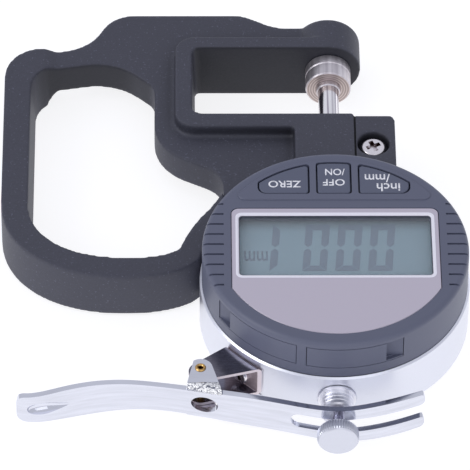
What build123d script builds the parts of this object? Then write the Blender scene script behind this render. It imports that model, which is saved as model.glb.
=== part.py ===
from build123d import *
import os
from math import asin, atan2, cos, degrees, hypot, pi, radians, sin, sqrt

# A digital thickness gauge, in millimetres. It lies on its back: X runs to the right, Y along the
# spindle towards the anvils, Z up through the display. The origin is on the axis of the round case,
# in the plane that the gauge rests on.

# Measuring line: the axis of spindle, stem and anvils
throat_far = 69.5
fixed_anvil_length = 2.5
anvil_diameter = 10.0
moving_anvil_length = 3.4
anvil_chamfer = 0.25
hub_diameter = 5.3
hub_length = 1.2
spindle_diameter = 4.5
neck_diameter = 3.2
stud_diameter = 2.4
stem_diameter = 8.0
stem_recess = 0.55
stem_inset = 1.0
turned_chamfer = 0.3
running_clearance = 0.05
seat_clearance = 0.02
stud_depth_left = 1.0
overrun = 1.0
end_gap = 0.1

# Frame casting. The throat's walls are the datum that the rim, the web and the finger hole follow
frame_depth = 14.4
ring_rise = 5.2
ring_drop = 6.6
web_rise = 4.1
web_drop = 3.0
ring_left = -71.2
ring_near = 1.6
ring_middle = (-44.0, 24.0)
ring_far = 71.5
ring_band = 5.8
ring_far_band = 6.6
ring_corner = 8.5
ring_power = 2.2
ring_toe = 7.0
ring_toe_power = 2.0
ring_step_x = -62.4
ring_step_y = 27.0
ring_ramp = 2.6
ring_shoulder = (17.7, 11.0)
case_rib = 4.9
frame_far = 83.1
frame_far_left = -47.4
frame_far_right = -19.0
shoulder_round = 8.0
boss_far = 79.0
boss_left = -11.5
boss_round = 1.2
throat_left = -30.05
throat_near = 49.15
throat_round = 1.7
arm_end = 0.0
arm_round = 10.0
rim_width = 3.75
rim_far_width = 3.5
rim_near_width = 4.25
rim_corner = 4.4
block_left = -7.9
ear_left = 5.5
ear_right = 14.0
ear_setback = 0.95
ear_round = 1.4
web_beside_rim = 4.5
hole_far = (-47.0, 68.2)
hole_shoulder_y = 60.2
hole_waist_y = 41.3
hole_heel = (-23.4, 33.4)
hole_toe = (-31.3, 13.6)
hole_toe_power = 2.4
hole_rounds = (6.5, 13.0, 4.0, 12.0, 6.3, 0)
case_gap = 0.8

# Pinch clamp in the ear
clamp_x = 9.2
clamp_setback = 9.55
clamp_head_diameter = 5.5
clamp_head_height = 1.8
clamp_counterbore = 6.9
clamp_sink = 0.9
clamp_shank = 3.0
clamp_floor = 1.5
pan_round_share = 0.42
recess_span_share = 0.58
recess_width_share = 0.19
recess_floor_share = 0.45
recess_turn = 24.0
slit_width = 0.8
seam_width = 0.45
seam_depth = 0.8

# Round case
case_radius = 28.6
case_bottom = 1.2
case_rise = 6.0
case_wall = 2.4
case_top_chamfer = 0.4
case_foot_chamfer = 0.6
deck_thickness = 1.8
cover_overlap = 0.8
cover_chamfer = 0.3
cover_screw_count = 4
cover_screw_start = 45.0
cover_screw_inset = 3.6
cover_screw_head = 3.4
cover_screw_sink = 1.0
cover_screw_shank = 1.6
cover_screw_length = 7.0
cover_screw_slot = (0.5, 0.35)
cover_screw_turn = 30.0
boss_wall = 1.6
hole_spare = 0.4

# Spindle bush and knob on the near side
bush_base_diameter = 8.0
bush_diameter = 7.0
bush_length = 4.1
bush_base_length = 1.0
bush_thread_diameter = 6.0
bush_inset = 0.8
shoulder_beyond_bush = 0.7
knob_diameter = 8.7
knob_gap = 3.95
knob_length = 2.9

# Mechanism inside the case
carriage_size = (10.0, 12.0, 6.6)
carriage_drop = 0.5
carriage_centre_y = 8.0
guide_rod_diameter = 2.0
guide_rod_x = 9.0
guide_arm = (8.0, 4.0)
guide_post = (3.0, 2.5, 4.0)
guide_post_gap = 2.7
strip_size = (8.0, 0.6)
strip_spare = 3.8
strip_setback = 2.0
strip_gap = 0.3
sensor_width = 16.0
sensor_inset = 6.2
sensor_setback = 1.0
spring_wire = 0.45
spring_mean_diameter = 5.2
spring_turns = 9

# Display head
seam_gap = 0.2
bezel_radius = 28.15
bezel_height = 9.7
bezel_wall = 1.5
bezel_top = 1.6
bezel_round = 1.2
base_thickness = 1.4
neck_outer = 14.0
neck_bore = 8.0
neck_drop = 0.7
ring_clip_width = 1.7
ring_clip_thickness = 0.5
ring_clip_opening = 4.0
clip_groove = 0.6
clip_groove_depth = 0.8
head_screw_angles = (-40.0, 37.0, 143.0, 188.0)
head_screw_inset = 2.05
head_boss_diameter = 3.2
head_screw_diameter = 1.6
head_screw_cover = 1.0
board_post_angles = (3.0, 90.0, 177.0)
board_post_diameter = 3.0
board_post_inset = 3.4
grip_count = 9
grip_pitch = 2.95
grip_centre_y = 0.85
grip_gap = 1.65
grip_width = 0.5
grip_depth = 0.45

# Lens and display glass. Shares are of the bezel's radius
lens_inset = 3.25
lens_half_share = 0.778
lens_far_share = 0.4032
lens_corner = 1.5
lens_thickness = 0.9
lens_sink = 0.05
lens_chamfer = 0.15
lens_clearance = 0.12
window_border = 1.0
window_far_border = 1.45
window_near_share = 0.3055
window_corner = 0.5
glass_margin = 0.6
glass_thickness = 1.25

# Button panel and buttons. Shares are of the bezel's radius
panel_inset = 2.4
panel_near_share = 0.4902
panel_corner = 1.4
panel_rise = 0.25
panel_edge = 0.15
button_near_share = 0.5584
button_arc_inset = 3.5
button_corner_share = 0.0249
button_end_share = 0.0675
middle_half_share = 0.1243
side_inner_share = 0.1936
side_outer_share = 0.5666
button_gap = 0.3
button_rise = 0.2
button_edge = 0.3
button_travel = 0.4
button_flange = 0.5
flange_thickness = 0.7
board_inset = 4.15
board_thickness = 1.2
board_gap = 1.8
pad_thickness = 1.8
pad_margin = 1.2
pad_gap = 0.2
connector_width = 1.4
connector_inset = 2.0

# Battery and port covers in the bezel's side
battery_angle = -82.2
cover_width = 20.6
cover_spacing = 2.03
cover_inset = 0.2
cover_low = 2.5
cover_height = 5.6
cover_gap = 0.15
notch_width = 3.7
notch_depth = 0.8
notch_low = 0.4
coin_diameter = 20.0
coin_thickness = 3.2
coin_edge = 0.3
coin_gap = 0.45
tray_thickness = 0.6
tray_share = 0.8
port_size = (9.0, 4.8, 5.0)
port_setback = 1.2
socket_wall = 1.0
socket_depth = 3.1
contact_size = (6.0, 0.3, 4.6)
inner_gap = 0.3

# Lever, its bracket and rivet. The blade's Y is measured from the middle of the spindle's neck
pivot_x = -28.5
pivot_lead = 11.375
blade_thickness = 1.25
blade_path = ((-66.9, 4.575), (-64.2, 4.125), (-58.0, 5.275), (-51.5, 6.875), (-43.8, 7.725),
              (-36.5, 7.175), (-24.0, 4.675), (-12.0, 1.975), (-4.0, -0.025), (1.0, -0.625),
              (6.0, -0.075), (12.9, 1.825), (18.2, 3.975))
blade_half_heights = ((-66.9, 3.5), (-62.0, 3.95), (-54.5, 4.33), (-43.8, 3.9), (-36.0, 3.57),
                      (-20.3, 4.15), (-8.0, 4.25), (8.7, 4.95), (18.2, 4.8))
thumb_corner = 2.0
fork_slot_start = -9.8
fork_slot_height = 3.8
fork_tip_corner = 1.1
oval_centre_x = -27.7
oval_size = (5.6, 4.4)
dimple_start = -64.6
dimple_end = -52.5
dimple_radius = 1.5
dimple_sink = 0.9
dimple_lead = 1.6
dimple_slope = 0.12
lug_thickness = 1.0
lug_top = 5.0
lug_round = 1.5
lug_foot = 2.2
lug_setback = 0.15
lug_end_radius = 2.5
lug_ends = (-31.5, -24.0)
bracket_angle = 226.8
bracket_width = 9.6
bracket_sheet = 0.75
bracket_flat = 0.5
bracket_clearance = 0.1
bracket_nose = 2.5
bracket_bend = 1.0
bracket_screw_head = 4.4
bracket_screw_height = 1.3
bracket_screw_shank = 2.4
rivet_diameter = 1.8
rivet_bore = 1.0
rivet_flange = 2.3
rivet_flange_height = 0.25
rivet_flare = 0.2
torsion_wire = 0.5
torsion_mean_diameter = 3.6
torsion_turns = 5
torsion_gap = 1.2

# How a shape stands on the plane it is made on
standing = (Align.CENTER, Align.CENTER, Align.MIN)

# Levels and places that follow from the sizes above
axis_z = frame_depth / 2
boss_radius = frame_depth / 2
stem_far = throat_near - stem_recess
clamp_y = throat_near - clamp_setback
rim_left = throat_left - rim_width
rim_far = throat_far + rim_far_width
rim_near = throat_near - rim_near_width
case_top = axis_z + case_rise
case_height = case_top - case_bottom
deck_bottom = case_top - deck_thickness
head_bottom = case_top + seam_gap
head_top = head_bottom + bezel_height
ceiling = head_top - bezel_top
base_top = head_bottom + base_thickness
glass_bottom = ceiling - glass_thickness
case_inner = case_radius - case_wall
guide_post_x = guide_rod_x + guide_post[0] / 2
guide_post_y = sqrt(case_inner**2 - guide_post_x**2) - guide_post[1] - guide_post_gap
cover_screw_circle = case_inner - cover_screw_inset
sensor_length = 2 * (case_inner - sensor_inset)
strip_length = case_inner + strip_spare
frame_arc = case_radius + case_gap
anvil_plane = throat_far - fixed_anvil_length
strip_bottom = axis_z - carriage_size[2] / 2 - carriage_drop - strip_size[1]
hub_near = anvil_plane - moving_anvil_length - hub_length
bush_base_near = -(case_radius - bracket_flat) - bush_base_length
bush_near = bush_base_near - bush_length
shoulder_y = bush_near - shoulder_beyond_bush
knob_far = shoulder_y - knob_gap
neck_middle_y = (shoulder_y + knob_far) / 2
pivot = (pivot_x, neck_middle_y + pivot_lead)
spindle_bore = spindle_diameter / 2 + running_clearance
bezel_inner = bezel_radius - bezel_wall
head_screw_circle = bezel_inner - head_screw_inset
lens_radius = bezel_radius - lens_inset
lens_half_width = lens_half_share * bezel_radius
lens_far = lens_far_share * bezel_radius
window_half_width = lens_half_width - window_border
window_far = lens_far - window_far_border
window_near = -window_near_share * bezel_radius
grip_inner_x = lens_half_width + grip_gap
panel_radius = bezel_radius - panel_inset
panel_near = panel_near_share * bezel_radius
button_near = button_near_share * bezel_radius
button_arc_radius = bezel_radius - button_arc_inset
button_corner = button_corner_share * bezel_radius
button_end_corner = button_end_share * bezel_radius
middle_half_width = middle_half_share * bezel_radius
side_inner_x = side_inner_share * bezel_radius
side_outer_x = side_outer_share * bezel_radius
board_radius = bezel_inner - board_inset
coin_circle = bezel_inner - coin_diameter / 2 - coin_gap
board_near = board_gap - (coin_circle - coin_diameter / 2)
cover_turn = 2 * degrees(asin(cover_width / 2 / bezel_radius)) + degrees(cover_spacing / bezel_radius)
cover_angles = {"battery": battery_angle, "port": battery_angle - cover_turn}
pad_top = ceiling - flange_thickness - button_travel - pad_gap
board_top = pad_top - pad_thickness
cover_bottom = head_bottom + cover_low
tray_bottom = cover_bottom + cover_gap
coin_bottom = tray_bottom + tray_thickness


def bar(diameter, y0, y1, x=0.0, z=axis_z):
    """A round bar along Y from y0 to y1."""
    middle = Pos(x, (y0 + y1) / 2, z)
    return middle * Cylinder(diameter / 2, abs(y1 - y0), rotation=(90, 0, 0))


def post(diameter, z0, z1, x=0.0, y=0.0):
    """A round post along Z from z0 to z1."""
    return Pos(x, y, (z0 + z1) / 2) * Cylinder(diameter / 2, abs(z1 - z0))


def block(low, high):
    """A box between two opposite corners."""
    size = [h - l for l, h in zip(low, high)]
    middle = [(h + l) / 2 for l, h in zip(low, high)]
    return Pos(*middle) * Box(*size)


def rise(sketch, z0, z1):
    """A sketch of the XY plane raised from z0 to z1."""
    return extrude(Pos(0, 0, z0) * sketch, amount=z1 - z0)


def on_circle(angle, radius):
    """The point at an angle and radius about the case's axis."""
    return radius * cos(radians(angle)), radius * sin(radians(angle))


def rounded_polygon(points, radii):
    """A closed outline of straight runs with each corner rounded by its own radius."""
    return make_face(FilletPolyline(*points, radius=list(radii), close=True))


def quarter_points(centre, reach_x, reach_y, power):
    """Points on a quarter of a superellipse, |x/a|^n + |y/b|^n = 1, from its Y end to its X end."""
    steps = 7
    points = []
    for i in range(steps):
        turn = pi / 2 * (1 - i / (steps - 1))
        along = cos(turn) ** (2 / power) if i else 0.0
        across = sin(turn) ** (2 / power) if i < steps - 1 else 0.0
        points.append((centre[0] + reach_x * along, centre[1] + reach_y * across))
    return points


def near_curve(toe, near, left, toe_power):
    """One smooth curve from the toe, down round the ring's near side and up to its left side."""
    middle_x, middle_y = ring_middle
    right = quarter_points((middle_x, toe[1]), toe[0] - middle_x, near - toe[1], toe_power)
    other = quarter_points(ring_middle, left - middle_x, near - middle_y, ring_power)
    points = [*right[::-1], *other[1:]]
    return Spline(*points, tangents=((0, -1), (0, 1)), tangent_scalars=(1, 1))


def frame_plan():
    """Plan outline of the casting: finger ring, back, boss, throat, stem block and pinch ear."""
    ear_far = throat_near - ear_setback
    step_round = ear_setback - running_clearance
    shoulder_x = ring_left + ring_shoulder[0]
    corners = [(ring_left, ring_middle[1]), (ring_left, ring_far), (shoulder_x, ring_far),
               (frame_far_left, frame_far), (frame_far_right, frame_far), (boss_left, boss_far),
               (arm_end, boss_far), (arm_end, throat_far), (throat_left, throat_far),
               (throat_left, throat_near), (ear_left, throat_near), (ear_left, ear_far),
               (ear_right, ear_far), (ear_right, frame_arc / 2)]
    radii = (ring_corner, ring_shoulder[1], shoulder_round, shoulder_round, arm_round, 0, 0,
             throat_round, throat_round, step_round, 0, ear_round)
    upper = FilletPolyline(*corners, radius=list(radii))
    toe_y = ring_near + ring_toe
    toe = (-sqrt(frame_arc**2 - toe_y**2), toe_y)
    back = Line(corners[-1], toe)
    near = near_curve(toe, ring_near, ring_left, ring_toe_power)
    outline = make_face([*upper.edges(), back, near])
    return outline - Circle(frame_arc)


def finger_hole():
    """The hole that the fingers go through: an even band inside the ring, and the web's own edge."""
    left = ring_left + ring_band
    far_left = (left, ring_far - ring_far_band)
    right = rim_left - web_beside_rim
    corners = [(left, ring_middle[1]), far_left, hole_far, (right, hole_shoulder_y),
               (right, hole_waist_y), hole_heel, (hole_heel[0], ring_step_y), hole_toe]
    upper = FilletPolyline(*corners, radius=list(hole_rounds))
    near = near_curve(hole_toe, ring_near + ring_band, left, hole_toe_power)
    return make_face([*upper.edges(), near]) - Circle(frame_arc + case_rib)


def ramp_cut(side, ring_reach, web_reach):
    """What is cut above or below the slope between the ring's level and the web's."""
    start, end = ring_step_x, ring_step_x + ring_ramp
    outer = frame_depth
    corners = [(start, side * ring_reach), (end, side * web_reach),
               (end, side * outer), (start, side * outer)]
    section = make_face(Polyline(*corners, close=True))
    upright = Plane(origin=(0, ring_step_y, axis_z), x_dir=(1, 0, 0), z_dir=(0, -1, 0))
    return extrude(upright * section, amount=ring_step_y - frame_far)


def make_frame():
    """The casting: web, thicker finger ring, full-depth rim, anvil boss, stem block and split ear."""
    beyond = 2 * ear_right
    rim_points = [(rim_left, rim_near), (rim_left, rim_far), (beyond, rim_far), (beyond, rim_near)]
    full_depth = rounded_polygon(rim_points, (rim_corner, rim_corner, 0, 0))
    stem_middle = Pos((block_left + beyond) / 2, rim_near / 2)
    full_depth += stem_middle * Rectangle(beyond - block_left, rim_near + overrun)
    reach = 2 * (frame_far - ring_left)
    left_part = Pos(ring_step_x + ring_ramp - reach / 2, 0) * Rectangle(reach, reach)
    near_part = Pos(hole_heel[0] - reach / 2, ring_step_y - reach / 2) * Rectangle(reach, reach)
    around = Rectangle(reach, reach) - full_depth
    casting = rise(frame_plan() - finger_hole(), 0, frame_depth)
    for side, ring_reach, web_reach in ((1, ring_rise, web_rise), (-1, ring_drop, web_drop)):
        outer = axis_z + side * frame_depth
        casting -= rise(around, axis_z + side * ring_reach, outer)
        casting -= rise(around - left_part - near_part, axis_z + side * web_reach, outer)
        casting -= ramp_cut(side, ring_reach, web_reach)
    boss = bar(2 * boss_radius, throat_far, boss_far)
    casting += fillet(boss.edges().sort_by(Axis.Y)[-1], boss_round)
    casting -= bar(stem_diameter + 2 * seat_clearance, 0, throat_near + overrun)
    stud_end = boss_far - 2 * stud_depth_left
    casting -= bar(stud_diameter + 2 * seat_clearance, throat_far - overrun, stud_end)
    slit_far = throat_near + overrun
    slit_low = axis_z - slit_width / 2
    casting -= block((0, 0, slit_low), (ear_right + overrun, slit_far, slit_low + slit_width))
    seam_left = ear_left - seam_width
    for z in (0, frame_depth):
        casting -= block((seam_left, 0, z - seam_depth), (ear_left, slit_far, z + seam_depth))
    head_seat = frame_depth - clamp_sink - clamp_head_height
    casting -= post(clamp_counterbore, head_seat, frame_depth + overrun, clamp_x, clamp_y)
    casting -= post(clamp_shank + 2 * running_clearance, clamp_floor, frame_depth, clamp_x, clamp_y)
    return casting


def pan_head(diameter, height):
    """A pan screw head standing on the XY plane, rounded on top, with a cross recess."""
    head = Cylinder(diameter / 2, height, align=standing)
    head = fillet(head.edges().group_by(Axis.Z)[-1], pan_round_share * height)
    for turn in (0, 90):
        cross = Box(recess_span_share * diameter, recess_width_share * diameter, height, align=standing)
        head -= Pos(0, 0, recess_floor_share * height) * Rot(0, 0, recess_turn + turn) * cross
    return head


def make_clamp_screw():
    """Cross-recess screw that pinches the two halves of the ear."""
    head_seat = frame_depth - clamp_sink - clamp_head_height
    shank = post(clamp_shank, clamp_floor + inner_gap, head_seat, clamp_x, clamp_y)
    return Pos(clamp_x, clamp_y, head_seat) * pan_head(clamp_head_diameter, clamp_head_height) + shank


def cover_screw_places():
    """Centres of the back cover's screws."""
    pitch = 360 / cover_screw_count
    angles = [cover_screw_start + pitch * i for i in range(cover_screw_count)]
    return [on_circle(angle, cover_screw_circle) for angle in angles]


def flat_plane(offset):
    """A plane that faces out at the bracket, that far from the case's axis, at the measuring level."""
    x, y = on_circle(bracket_angle, offset)
    out = (cos(radians(bracket_angle)), sin(radians(bracket_angle)), 0)
    side = (-out[1], out[0], 0)
    return Plane(origin=(x, y, axis_z), x_dir=side, z_dir=out)


def make_case():
    """The round housing: a wall, a deck that the display head turns on, posts and screw bosses."""
    case = post(2 * case_radius, case_bottom, case_top)
    case = chamfer(case.edges().group_by(Axis.Z)[-1], case_top_chamfer)
    case = chamfer(case.edges().group_by(Axis.Z)[0], case_foot_chamfer)
    case -= post(2 * case_inner, case_bottom - overrun, deck_bottom)
    case -= post(2 * (neck_outer + running_clearance), deck_bottom - overrun, case_top + overrun)
    for x, y in cover_screw_places():
        case += post(cover_screw_shank + 2 * boss_wall, case_bottom, deck_bottom, x, y)
        case -= post(cover_screw_shank, case_bottom - overrun, deck_bottom - boss_wall, x, y)
    width, length, low = guide_post
    for side in (-1, 1):
        near, far = sorted((side * guide_post_y, side * (guide_post_y + length)))
        low_corner = (guide_rod_x - width / 2, near, axis_z - low / 2)
        case += block(low_corner, (guide_rod_x + width / 2, far, deck_bottom))
        case -= bar(guide_rod_diameter + 2 * seat_clearance, near - overrun, far + overrun, guide_rod_x)
    stem_hole_start = case_inner - stem_inset - overrun
    case -= bar(stem_diameter + 2 * seat_clearance, stem_hole_start, case_radius + overrun)
    bush_hole_end = -case_inner + bush_inset + overrun
    case -= bar(bush_thread_diameter + 2 * seat_clearance, -case_radius - overrun, bush_hole_end)
    case -= bar(bush_base_diameter + hole_spare, -case_radius - overrun, -case_radius + bracket_flat)
    pad = flat_plane(case_radius - bracket_flat)
    case -= pad * Box(2 * bracket_width, 2 * case_height, case_wall, align=standing)
    screw_hole = Cylinder(bracket_screw_shank / 2 + seat_clearance, 2 * case_wall)
    case -= pad * screw_hole
    return case


def make_back_cover():
    """Flat disc under the case, with countersunk holes."""
    cover = post(2 * (case_inner + cover_overlap), 0, case_bottom)
    cover = chamfer(cover.edges().group_by(Axis.Z)[0], cover_chamfer)
    for x, y in cover_screw_places():
        cover -= post(cover_screw_shank + hole_spare, -overrun, case_bottom + overrun, x, y)
        sink = Cone(cover_screw_head / 2 + end_gap, cover_screw_shank / 2, cover_screw_sink)
        cover -= Pos(x, y, cover_screw_sink / 2) * sink
    return cover


def make_back_screws():
    """Slotted countersunk screws that hold the back cover."""
    screws = []
    slot_width, slot_depth = cover_screw_slot
    head_height = cover_screw_sink - end_gap
    for i, (x, y) in enumerate(cover_screw_places()):
        cone = Cone(cover_screw_head / 2, cover_screw_shank / 2 - seat_clearance, head_height)
        head = Pos(x, y, end_gap + head_height / 2) * cone
        shank = post(cover_screw_shank - 2 * seat_clearance, cover_screw_sink, cover_screw_length, x, y)
        slot = Rot(0, 0, cover_screw_turn * i) * Box(cover_screw_head, slot_width, 2 * slot_depth)
        screws.append(head + shank - Pos(x, y, end_gap) * slot)
    return Compound(screws)


def make_spindle():
    """Polished spindle, necked down where the fork straddles it, with a stud at each end."""
    rod = bar(spindle_diameter, hub_near, shoulder_y)
    rod += bar(neck_diameter, shoulder_y, knob_far)
    rod += bar(stud_diameter, knob_far, knob_far - knob_length + stud_depth_left)
    rod += bar(stud_diameter, hub_near, anvil_plane - stud_depth_left)
    return rod


def make_stem():
    """Tube that the frame clamps and the spindle runs in."""
    tube = bar(stem_diameter, case_inner - stem_inset, stem_far)
    return tube - bar(2 * spindle_bore, 0, stem_far + overrun)


def make_moving_anvil():
    """Ground disc with a hub behind it, bored for the spindle's stud."""
    disc = bar(anvil_diameter, anvil_plane, hub_near + hub_length)
    disc = chamfer(disc.edges().group_by(Axis.Y)[0] + disc.edges().group_by(Axis.Y)[-1], anvil_chamfer)
    hub = bar(hub_diameter, hub_near + hub_length, hub_near)
    hub = chamfer(hub.edges().group_by(Axis.Y)[0], anvil_chamfer)
    stud_end = anvil_plane - stud_depth_left + end_gap
    return disc + hub - bar(stud_diameter + 2 * seat_clearance, hub_near - overrun, stud_end)


def make_fixed_anvil():
    """Ground disc on the boss, with a stud into it."""
    disc = bar(anvil_diameter, throat_far, anvil_plane)
    disc = chamfer(disc.edges().group_by(Axis.Y)[0] + disc.edges().group_by(Axis.Y)[-1], anvil_chamfer)
    stud_end = boss_far - 2 * stud_depth_left - inner_gap
    return disc + bar(stud_diameter, throat_far - fixed_anvil_length / 2, stud_end)


def make_bush():
    """Stepped bush screwed into the case where the spindle comes out."""
    bush = bar(bush_base_diameter, -case_radius + bracket_flat, bush_base_near)
    barrel = bar(bush_diameter, bush_base_near, bush_near)
    bush += chamfer(barrel.edges().group_by(Axis.Y)[0], turned_chamfer)
    bush += bar(bush_thread_diameter, -case_radius + bracket_flat, -case_inner + bush_inset)
    return bush - bar(2 * spindle_bore, -case_inner + bush_inset + overrun, bush_near - overrun)


def make_knob():
    """Lift knob, screwed on the spindle's stud, chamfered at both faces."""
    knob = bar(knob_diameter, knob_far, knob_far - knob_length)
    knob = chamfer(knob.edges().group_by(Axis.Y)[0] + knob.edges().group_by(Axis.Y)[-1], turned_chamfer)
    stud_end = knob_far - knob_length + stud_depth_left - end_gap
    return knob - bar(stud_diameter + 2 * seat_clearance, knob_far + overrun, stud_end)


def make_carriage():
    """Block fixed on the spindle, with an arm whose bore runs on the guide rod."""
    width, length, height = carriage_size
    low = axis_z - height / 2 - carriage_drop
    near = carriage_centre_y - length / 2
    body = block((-width / 2, near, low), (width / 2, near + length, low + height))
    arm_length, arm_height = guide_arm
    arm_near = carriage_centre_y - arm_length / 2
    arm_low = axis_z - arm_height / 2
    arm_reach = guide_rod_x + guide_rod_diameter
    body += block((0, arm_near, arm_low), (arm_reach, arm_near + arm_length, arm_low + arm_height))
    start, end = near - overrun, near + length + overrun
    body -= bar(spindle_diameter + 2 * seat_clearance, start, end)
    return body - bar(guide_rod_diameter + 2 * running_clearance, start, end, guide_rod_x)


def make_guide_rod():
    """Rod that the carriage's arm runs on, held in the case's two posts."""
    reach = guide_post_y + guide_post[1]
    return bar(guide_rod_diameter, -reach, reach, guide_rod_x)


def make_strip():
    """Scale strip under the carriage."""
    width, thick = strip_size
    middle = Pos(0, carriage_centre_y - strip_setback, strip_bottom + thick / 2)
    return middle * Box(width, strip_length, thick)


def make_sensor_board():
    """Board on the back cover that reads the strip above it."""
    thick = strip_bottom - strip_gap - case_bottom
    return Pos(0, -sensor_setback, case_bottom + thick / 2) * Box(sensor_width, sensor_length, thick)


def coil(wire, mean_diameter, turns, length):
    """A round-wire coil about the Z axis, starting at z = 0."""
    path = Helix(pitch=length / turns, height=length, radius=mean_diameter / 2)
    section = Plane(origin=path @ 0, z_dir=path % 0) * Circle(wire / 2)
    return sweep(section, path=path, is_frenet=True)


def make_return_spring():
    """Compression spring between the bush and the carriage."""
    near = -case_inner + bush_inset + inner_gap + spring_wire / 2
    far = carriage_centre_y - carriage_size[1] / 2 - inner_gap - spring_wire / 2
    spring = coil(spring_wire, spring_mean_diameter, spring_turns, far - near)
    return Pos(0, near, axis_z) * Rot(-90, 0, 0) * spring


def lens_outline(margin=0.0):
    """The D of the lens: a disc with straight sides and a straight far edge, two corners rounded."""
    half = lens_half_width + margin
    bottom = -2 * lens_radius
    corners = [(-half, bottom), (-half, lens_far + margin), (half, lens_far + margin), (half, bottom)]
    straight = rounded_polygon(corners, (0, lens_corner + margin, lens_corner + margin, 0))
    return straight & Circle(lens_radius + margin)


def window_outline(margin=0.0):
    """The opening over the display glass."""
    width = 2 * (window_half_width + margin)
    height = window_far - window_near + 2 * margin
    middle = Pos(0, (window_far + window_near) / 2)
    return middle * RectangleRounded(width, height, window_corner + margin)


def button_outline(name, margin=0.0):
    """Plan of one button: straight inner edges, and a far edge that follows the panel's arc."""
    near = button_near - margin
    far = 2 * button_arc_radius
    if name == "power":
        low, high = -middle_half_width - margin, middle_half_width + margin
        radii = (button_corner, 0, 0, button_corner)
    else:
        low, high = side_inner_x - margin, side_outer_x + margin
        radii = (button_corner, 0, 0, button_end_corner)
    shape = rounded_polygon([(low, near), (low, far), (high, far), (high, near)], radii)
    shape = shape & Circle(button_arc_radius + margin)
    middle_y = (near + button_arc_radius) / 2 - button_end_corner
    outer = shape.vertices().filter_by(lambda v: v.Y > middle_y)
    shape = fillet(outer, button_corner)
    return mirror(shape, Plane.YZ) if name == "zero" else shape


def panel_outline():
    """The segment-shaped raised panel round the buttons."""
    far = 2 * panel_radius
    wide = Pos(0, (far + panel_near) / 2) * Rectangle(2 * panel_radius, far - panel_near)
    shape = wide & Circle(panel_radius)
    return fillet(shape.vertices(), panel_corner)


def cover_frame(name):
    """Places a cover's own axes: X along the wall, Y outwards, Z up from the cover's bottom."""
    return Pos(0, 0, cover_bottom) * Rot(0, 0, cover_angles[name] - 90)


def cover_plug(name, margin):
    """The straight-sided space that a cover fills, made larger or smaller by a margin."""
    width = cover_width + 2 * margin
    start = sqrt(bezel_inner**2 - (cover_width / 2) ** 2) - cover_inset
    depth = bezel_radius + overrun - start
    plug = Pos(0, start + depth / 2, cover_height / 2) * Box(width, depth, cover_height + 2 * margin)
    return cover_frame(name) * plug


def head_posts(diameter, z0, z1):
    """The round parts that repeat at the display head's screws."""
    return [post(diameter, z0, z1, *on_circle(a, head_screw_circle)) for a in head_screw_angles]


def make_bezel():
    """Display housing: side wall, face, lens seat, window, button panel, grip grooves and side doors."""
    bezel = post(2 * bezel_radius, head_bottom, head_top)
    bezel = fillet(bezel.edges().group_by(Axis.Z)[-1], bezel_round)
    panel = rise(panel_outline(), ceiling, head_top + panel_rise)
    bezel += chamfer(panel.edges().group_by(Axis.Z)[-1], panel_edge)
    bezel -= post(2 * bezel_inner, head_bottom - overrun, ceiling)
    for boss in head_posts(head_boss_diameter, base_top, ceiling):
        bezel += boss
    for hole in head_posts(head_screw_diameter, base_top - overrun, ceiling - head_screw_cover):
        bezel -= hole
    lens_floor = head_top - lens_thickness - lens_sink
    bezel -= rise(lens_outline(lens_clearance), lens_floor, head_top + overrun)
    bezel -= rise(window_outline(), ceiling - overrun, head_top)
    for name in ("zero", "power", "unit"):
        bezel -= rise(button_outline(name, button_gap), ceiling - overrun, head_top + overrun)
    for i in range(grip_count):
        y = grip_centre_y + (i - (grip_count - 1) / 2) * grip_pitch
        for side in (-1, 1):
            inner, outer = sorted((side * grip_inner_x, side * (bezel_radius + overrun)))
            low = (inner, y - grip_width / 2, head_top - grip_depth)
            bezel -= block(low, (outer, y + grip_width / 2, head_top + overrun))
    for name in cover_angles:
        bezel -= cover_plug(name, 0.0)
    return bezel


def make_head_base():
    """Floor of the display head, with the neck that turns in the deck and posts for the board."""
    base = post(2 * (bezel_inner - seat_clearance), head_bottom, base_top)
    neck_bottom = deck_bottom - ring_clip_thickness - neck_drop
    base += post(2 * neck_outer, neck_bottom, head_bottom)
    base -= post(neck_bore, neck_bottom - overrun, base_top + overrun)
    groove_top = deck_bottom - end_gap / 2
    groove_bottom = groove_top - clip_groove
    groove = post(2 * neck_outer + overrun, groove_bottom, groove_top)
    base -= groove - post(2 * (neck_outer - clip_groove_depth), groove_bottom, groove_top)
    for angle in board_post_angles:
        place = on_circle(angle, board_radius - board_post_inset)
        base += post(board_post_diameter, base_top, board_top - board_thickness, *place)
    for hole in head_posts(head_screw_diameter + hole_spare, head_bottom - overrun, base_top + overrun):
        base -= hole
    return base


def make_bezel_screws():
    """Four screws from the head's floor up into the bezel's bosses."""
    tip = ceiling - 2 * head_screw_cover
    return Compound(head_posts(head_screw_diameter - 2 * seat_clearance, head_bottom + end_gap, tip))


def make_retaining_ring():
    """Open spring ring in the neck's groove, under the deck."""
    top = deck_bottom - end_gap
    low = top - ring_clip_thickness
    inner = neck_outer - clip_groove_depth + end_gap
    ring = post(2 * (inner + ring_clip_width), low, top) - post(2 * inner, low, top)
    half = ring_clip_opening / 2
    return ring - block((-half, 0, low), (half, 2 * neck_outer, top))


def make_lens():
    """D-shaped cover plate in its seat."""
    lens = rise(lens_outline(), head_top - lens_sink - lens_thickness, head_top - lens_sink)
    return chamfer(lens.edges().group_by(Axis.Z)[-1], lens_chamfer)


def make_glass():
    """Display glass under the window."""
    return rise(window_outline(glass_margin), glass_bottom, ceiling)


def make_connector():
    """Contact strip from the board to the glass."""
    far = window_far + glass_margin
    half = window_half_width - connector_inset
    return block((-half, far - connector_width, board_top), (half, far, glass_bottom))


def make_board():
    """Board under the glass and the buttons, cut straight beside the battery."""
    beside = Pos(0, board_near - board_radius) * Rectangle(2 * board_radius, 2 * board_radius)
    return rise(Circle(board_radius) - beside, board_top - board_thickness, board_top)


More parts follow.
